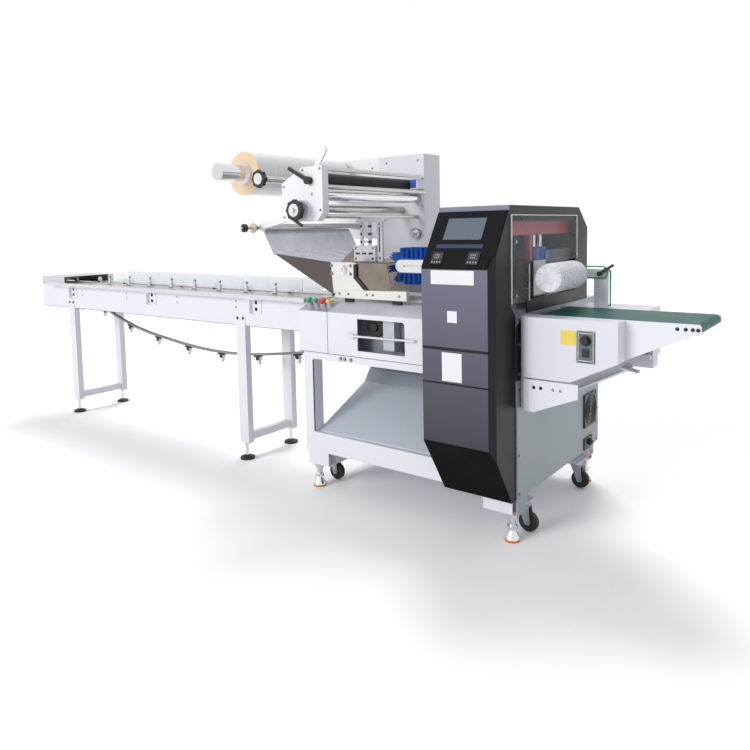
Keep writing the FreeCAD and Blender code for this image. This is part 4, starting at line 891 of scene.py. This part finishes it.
# ======================= Forming box =======================
CHEEK = ((2560, 1000), (2700, 1000), (2700, 935), (2755, 879), (2588, 866), (2560, 935))
RAIL_LINE = ((2587, 846), (2976, 846), (2976, 886), (2616, 880))
cheeks = extruded("former_cheeks", [("Y", CHEEK, y0, y1) for y0, y1 in ((-6, -0.3), (340.3, 346))],
                  cheek_paint)
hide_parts("former_side_plates")
extruded("former_rails", [("Y", RAIL_LINE, y0, y1) for y0, y1 in ((-14, 6), (334, 354))],
         cheek_paint, edge=0.0015)
blocks("rail_feet", [(x, x + 44, y0, y1, DECK_LEVEL, 847) for x in (2650, 2900)
                     for y0, y1 in ((-10, 4), (336, 350))], dark_steel)
WALL = ((2705, 880), (2895, 880), (2868, 1000), (2705, 1000))
tube_walls = extruded("former_walls", [("Y", WALL, BEAM_FRONT, BEAM_FRONT + SHEET),
                                       ("Y", WALL, BEAM_REAR - SHEET, BEAM_REAR),
                                       ("Z", ((2568, 0), (2866, 0), (2866, 340), (2568, 340)), 997, 1000)],
                      tube_metal, edge=0.0004)
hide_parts("former_tube")
GATE = ((2700, 932), (2700, 992), (2716, 992), (2716, 938), (2776, 880), (2757, 880))
extruded("former_gates", [("Y", GATE, -9, -0.3), ("Y", GATE, 340.3, 349)],
         black_knob, edge=0.001)
BOSS = ((0, 24), (5, 24), (5, 18), (14, 18), (14, 9), (20, 9))
lathes("cheek_bosses", [((2640, y, 968), "Y", [(way * out, radius) for out, radius in BOSS])
                        for y, way in ((-5.5, -1), (345.5, 1))], chrome)
hanger = [(2640, 2792, 92, 112, 1169, 1187), (2749, 2779, 96, 108, 1000, 1170)]
hanger += [(x, x + 12, 96, 108, 1000, 1170) for x in (2658, 2702)]
hanger += [(2658, 2714, 96, 108, z, z + 12) for z in (1078, 1112, 1146)]
blocks("former_hanger", hanger, hanger_paint, edge=0.001)
blocks("hanger_block", [(2628, 2748, 84, 120, 1000, 1069)], white_paint, edge=0.002)
# Painted shade: the slots are thin dark patches that stand for the shade inside them.
blocks("hanger_slots", [(2640 + i * 36, 2664 + i * 36, 83.5, 84.5, 1030, 1038) for i in range(3)] +
       [(2760, 2766, 95.4, 96.4, 1040, 1150)], dark_steel, edge=0.0003)
WING_PLATE = ((2634, 1000), (2639, 1010), (2704, 1058), (2699, 1000))
extruded("former_wing_plate", [("Y", WING_PLATE, -6, -3)], tube_metal)
bolts("hanger_bolts", [((x, 83.4, z), FRONT) for x in (2640, 2735) for z in (1012, 1058)] +
      [((2764, 95.4, z), FRONT) for z in (1015, 1160)], bolt_steel, 0.004, 0.003, 0.006)

# ======================= Outfeed housings, supports and end panel =======================
HOUSING_LEFT, HOUSING_STEP, HOUSING_BREAK = 3494, 3840, 3684
HOUSING_CORNER, HOUSING_BACK = 46, -30
HOUSING_LOW, HOUSING_RISE = 620, 77
corner_centre = (HOUSING_LEFT + HOUSING_CORNER, HOUSING_FACE + HOUSING_CORNER)
corner_points = sweep(corner_centre, HOUSING_CORNER, 180, 270, 10)
plan = corner_points + [
    (HOUSING_BREAK, HOUSING_FACE), (HOUSING_STEP, HOUSING_FACE), (HOUSING_STEP, HOUSING_BACK),
    (HOUSING_BREAK, HOUSING_BACK), (HOUSING_LEFT, HOUSING_BACK)]
housing_bm = bmesh.new()
low_ring, high_ring = [], []
for x, y in plan:
    low = HOUSING_LOW + max(0, x - HOUSING_BREAK) * HOUSING_RISE / (HOUSING_STEP - HOUSING_BREAK)
    low_ring.append(housing_bm.verts.new(at(x, y, low)))
    high_ring.append(housing_bm.verts.new(at(x, y, DECK_LEVEL)))
for i in range(len(plan)):
    j = (i + 1) % len(plan)
    housing_bm.faces.new((low_ring[i], low_ring[j], high_ring[j], high_ring[i]))
housing_bm.faces.new(high_ring)
bend_at = len(corner_points)
housing_bm.faces.new([low_ring[i] for i in range(bend_at, bend_at + 4)])
housing_bm.faces.new(low_ring[:bend_at + 1] + low_ring[bend_at + 3:])
bmesh.ops.recalc_face_normals(housing_bm, faces=housing_bm.faces)
housing = place(housing_bm, "housing_shell", housing_paint, "machine")
soften(housing, 0.0015)
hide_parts("outfeed_housings")
blocks("rear_drive_boxes", [(3560, 3830, 266, 420, 652, DECK_LEVEL), (3739, 3846, 266, 330, 622, 700)],
       housing_paint, edge=0.0015)
blocks("speed_plate", [(3707, 3768, -104, HOUSING_FACE, 691, 796)], speed_plate, edge=0.001)
blocks("speed_plate_frame", [(3712, 3763, -104.6, -103.8, z, z + 1.6) for z in (698, 788)] +
       [(x, x + 1.6, -104.6, -103.8, 698, 789) for x in (3712, 3761.4)], hub_metal, edge=0.0002)
lathes("speed_dial", [((3738, -104, 765), "Y", [(0, 18), (-2, 18), (-2, 13), (-16, 12), (-18, 10)])],
       black_knob)
blocks("speed_switch", [(3727, 3749, -109, -103.8, 711, 739)], black_knob, edge=0.0015)
bolts("speed_screws", [((x, -104.3, z), FRONT) for x in (3711, 3764) for z in (694, 793)],
      bolt_steel, 0.0028, 0.0018, 0.004, 12)

GUSSET = ((3493.3, 486), (3850, 672), (3850, 680), (3493.3, 680))
GUSSET_FLANGE = ((3493.3, 478), (3850, 664), (3850, 672), (3493.3, 486))
GUSSET_TAB = ((3822, 668), (3874, 656), (3874, 661), (3822, 674))
gussets = extruded("outfeed_gussets", [
    ("Y", GUSSET, 20, 26), ("Y", GUSSET, 212, 218), ("Y", GUSSET_FLANGE, 0, 26),
    ("Y", GUSSET_FLANGE, 212, 238), ("Y", GUSSET_TAB, -24, 20)], white_paint)
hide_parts("outfeed_supports")
APRON_LOW, APRON_TOP, APRON_BREAK, APRON_END, APRON_RISE = 502, 615, 3556, 3711, 65
skirt_line = [(3493.4, -50), (3494, -62), (3501, -80), (3518, -96)]
skirt_line += [(x, HOUSING_FACE) for x in (3540, APRON_BREAK, 3600, 3655, APRON_END)]
skirt_bm = bmesh.new()
edges = []
for x, y in skirt_line:
    low = APRON_LOW + max(0, x - APRON_BREAK) * APRON_RISE / (APRON_END - APRON_BREAK)
    edges.append((skirt_bm.verts.new(at(x, y, low)), skirt_bm.verts.new(at(x, y, APRON_TOP))))
for (a0, a1), (b0, b1) in zip(edges, edges[1:]):
    skirt_bm.faces.new((a0, b0, b1, a1))
apron = place(skirt_bm, "outfeed_apron", white_paint, "machine")
thick = apron.modifiers.new("sheet_thickness", "SOLIDIFY")
thick.thickness = 0.004
thick.offset = -1.0

REAR_FACE = 721
END_OUTLINE = ((PANEL_FACE, 114), (-31, 114), (-3, 173), (655, 173), (REAR_FACE, 194),
               (REAR_FACE, DECK_LEVEL), (0, DECK_LEVEL), (PANEL_FACE, 792))
end_panel = extruded("end_panel", [("X", END_OUTLINE, END_FACE - 6, END_FACE)], end_painted_shade)
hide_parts("housing_panels")
blocks("side_and_rear_panels", [
    (2479, 2483, 0, 140, 614, 826), (2479, 2483, 200, 716.7, 614, 826), (2479, 2483, 139.5, 200.5, 614, 634),
    (2479, 3486.7, REAR_FACE - 4, REAR_FACE, 614, 826)], panel_paint)
blocks("fan_frame", [(3492.5, 3501, 540, 680, 274, 418)], black_knob, edge=0.003)
fan_rings = [[(0, radius), (2.6, radius), (2.6, radius - 5), (0, radius - 5)] for radius in (64, 50, 36, 20)]
lathes("fan_rings", [((3500.5, 610, 346), "X", ring) for ring in fan_rings], dark_steel, segments=40)
blocks("cable_socket", [(3492.5, 3499, 543, 637, 178, 228)], black_knob, edge=0.002)
lathes("socket_plug", [((3498, 600, 205), "X", [(0, 15), (9, 14), (12, 9), (16, 8)])],
       black_knob)

# ======================= Hubs, feet and seams =======================
HEAD_HUB = [(0, 27), (-3, 26), (-3, 17), (-6, 16), (-6, 10), (-12, 9)]
REEL_HUB = [(0, 25), (-3, 24), (-3, 15), (-6, 14), (-6, 9), (-9, 8)]
KNOB_RING = [(0, 26), (-4, 25), (-4, 18), (-10, 17), (-10, 11), (-18, 10)]
lathes("head_wheel_hub", [((2604, -261.5, 1221), "Y", HEAD_HUB)], hub_metal, "head_wheel")
lathes("reel_wheel_hub", [((2352, -213.5, 1364), "Y", REEL_HUB)], hub_metal, "reel_wheel")
lathes("column_knob_ring", [((2650, 532.5, 1115), "Y", KNOB_RING)], chrome)
FEET = [(x, y) for x in (2513, 3451) for y in (-49, 677)]
FOOT_CUP = [(8, 27.5), (18, 25), (34, 15), (44, 13), (44, 19), (58, 19), (58, 13), (76, 13), (90, 21),
            (105, 25)]
FOOT_COLLAR = [(103, 21), (103, 23), (107, 23), (107, 21)]
lathes("foot_collars", [((x, y, 0), "Z", FOOT_COLLAR) for x, y in FEET], pad_rubber)
lathes("foot_cups", [((x, y, 0), "Z", FOOT_CUP) for x, y in FEET], chrome)
blocks("panel_seams", [(2618.6, 2620.4, -93.7, -92.8, 614, 791), (2455, 3213, -93.6, -92.8, 612.4, 614.4),
                       (2529, 2535.4, -93.8, -92.8, 262, 580)], dark_steel, edge=0.0)
bolts("rail_latches", [((x, -93.4, 598), FRONT) for x in (2690, 2712, 2745)], bolt_steel, 0.006, 0.004, 0.009)


# ======================= Floor, light and camera =======================
def seen_rays(tree):
    """1 for what the camera sees, straight on, mirrored or through something clear."""
    rays = wired(tree, "ShaderNodeLightPath").outputs
    other = maths(tree, "MAXIMUM", rays["Is Glossy Ray"], rays["Is Transmission Ray"])
    return maths(tree, "MAXIMUM", rays["Is Camera Ray"], other)


def floor_material():
    """A matt white floor that is seen lighter than the light it gives back, and keeps its shadow."""
    material = bpy.data.materials.new("studio_floor")
    material.use_nodes = True
    tree = material.node_tree
    shader = tree.nodes["Principled BSDF"]
    grain = wired(tree, "ShaderNodeTexNoise", {"Scale": 3.0}).outputs["Fac"]
    feed(tree, shader, {"Base Color": blend(tree, grain, (0.86, 0.86, 0.86, 1), (0.9, 0.9, 0.9, 1)),
                        "Roughness": 0.9, "Specular IOR Level": 0.0})
    extra = blend(tree, seen_rays(tree), (0, 0, 0, 1), (0.37, 0.37, 0.37, 1))
    lighter = wired(tree, "ShaderNodeBsdfDiffuse", {"Color": extra})
    both = wired(tree, "ShaderNodeAddShader", {0: shader.outputs[0], 1: lighter.outputs[0]})
    feed(tree, tree.nodes["Material Output"], {"Surface": both.outputs[0]})
    return material


floor_bm = bmesh.new()
bmesh.ops.create_grid(floor_bm, x_segments=1, y_segments=1, size=40.0)
for vertex in floor_bm.verts:
    vertex.co.z = -0.0005
floor_mesh = bpy.data.meshes.new("floor")
floor_bm.to_mesh(floor_mesh)
floor_bm.free()
floor_mesh.materials.append(floor_material())
floor = bpy.data.objects.new("floor", floor_mesh)
bpy.context.scene.collection.objects.link(floor)
floor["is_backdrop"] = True

world = bpy.data.worlds.new("studio")
world.use_nodes = True
bpy.context.scene.world = world
sky = world.node_tree
AMBIENT = 0.52
seen = seen_rays(sky)
feed(sky, sky.nodes["Background"], {
    "Color": blend(sky, seen, (0.95, 0.97, 1.0, 1.0), (1.0, 1.0, 1.0, 1.0)),
    "Strength": maths(sky, "ADD", AMBIENT, maths(sky, "MULTIPLY", seen, 1 - AMBIENT))})


def sun(name, energy, spot, target, spread):
    light = bpy.data.lights.new(name, "SUN")
    light.energy = energy
    light.angle = spread
    holder = bpy.data.objects.new(name, light)
    holder.location = spot
    holder.rotation_euler = (Vector(target) - Vector(spot)).to_track_quat("-Z", "Y").to_euler()
    bpy.context.scene.collection.objects.link(holder)


sun("front_key", 1.35, (-1.6, -5.0, 2.4), (0, 0, 0.6), radians(25))
sun("rear_top", 1.1, (-1.0, 2.0, 4.2), (0, 0, 0.4), radians(22))

YAW, PITCH, ROLL = radians(38.05), radians(4.65), radians(-1.20)
look = Vector((-sin(YAW) * cos(PITCH), cos(YAW) * cos(PITCH), -sin(PITCH)))
side = Vector((cos(YAW), sin(YAW), 0.0))
lift = side.cross(look)
right = cos(ROLL) * side + sin(ROLL) * lift
above = -sin(ROLL) * side + cos(ROLL) * lift
camera_data = bpy.data.cameras.new("camera")
camera_data.sensor_width = 36.0
camera_data.lens = 32.6
camera_data.shift_x = 0.0111
camera_data.shift_y = -0.1203
camera_data.clip_end = 200.0
camera = bpy.data.objects.new("camera", camera_data)
turn = Matrix((right, above, -look)).transposed().to_4x4()
camera.matrix_world = Matrix.Translation((2.489, -2.4645, 1.138)) @ turn
bpy.context.scene.collection.objects.link(camera)
bpy.context.scene.camera = camera
bpy.context.scene.view_settings.view_transform = "Standard"

bpy.context.view_layer.update()
low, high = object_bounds()
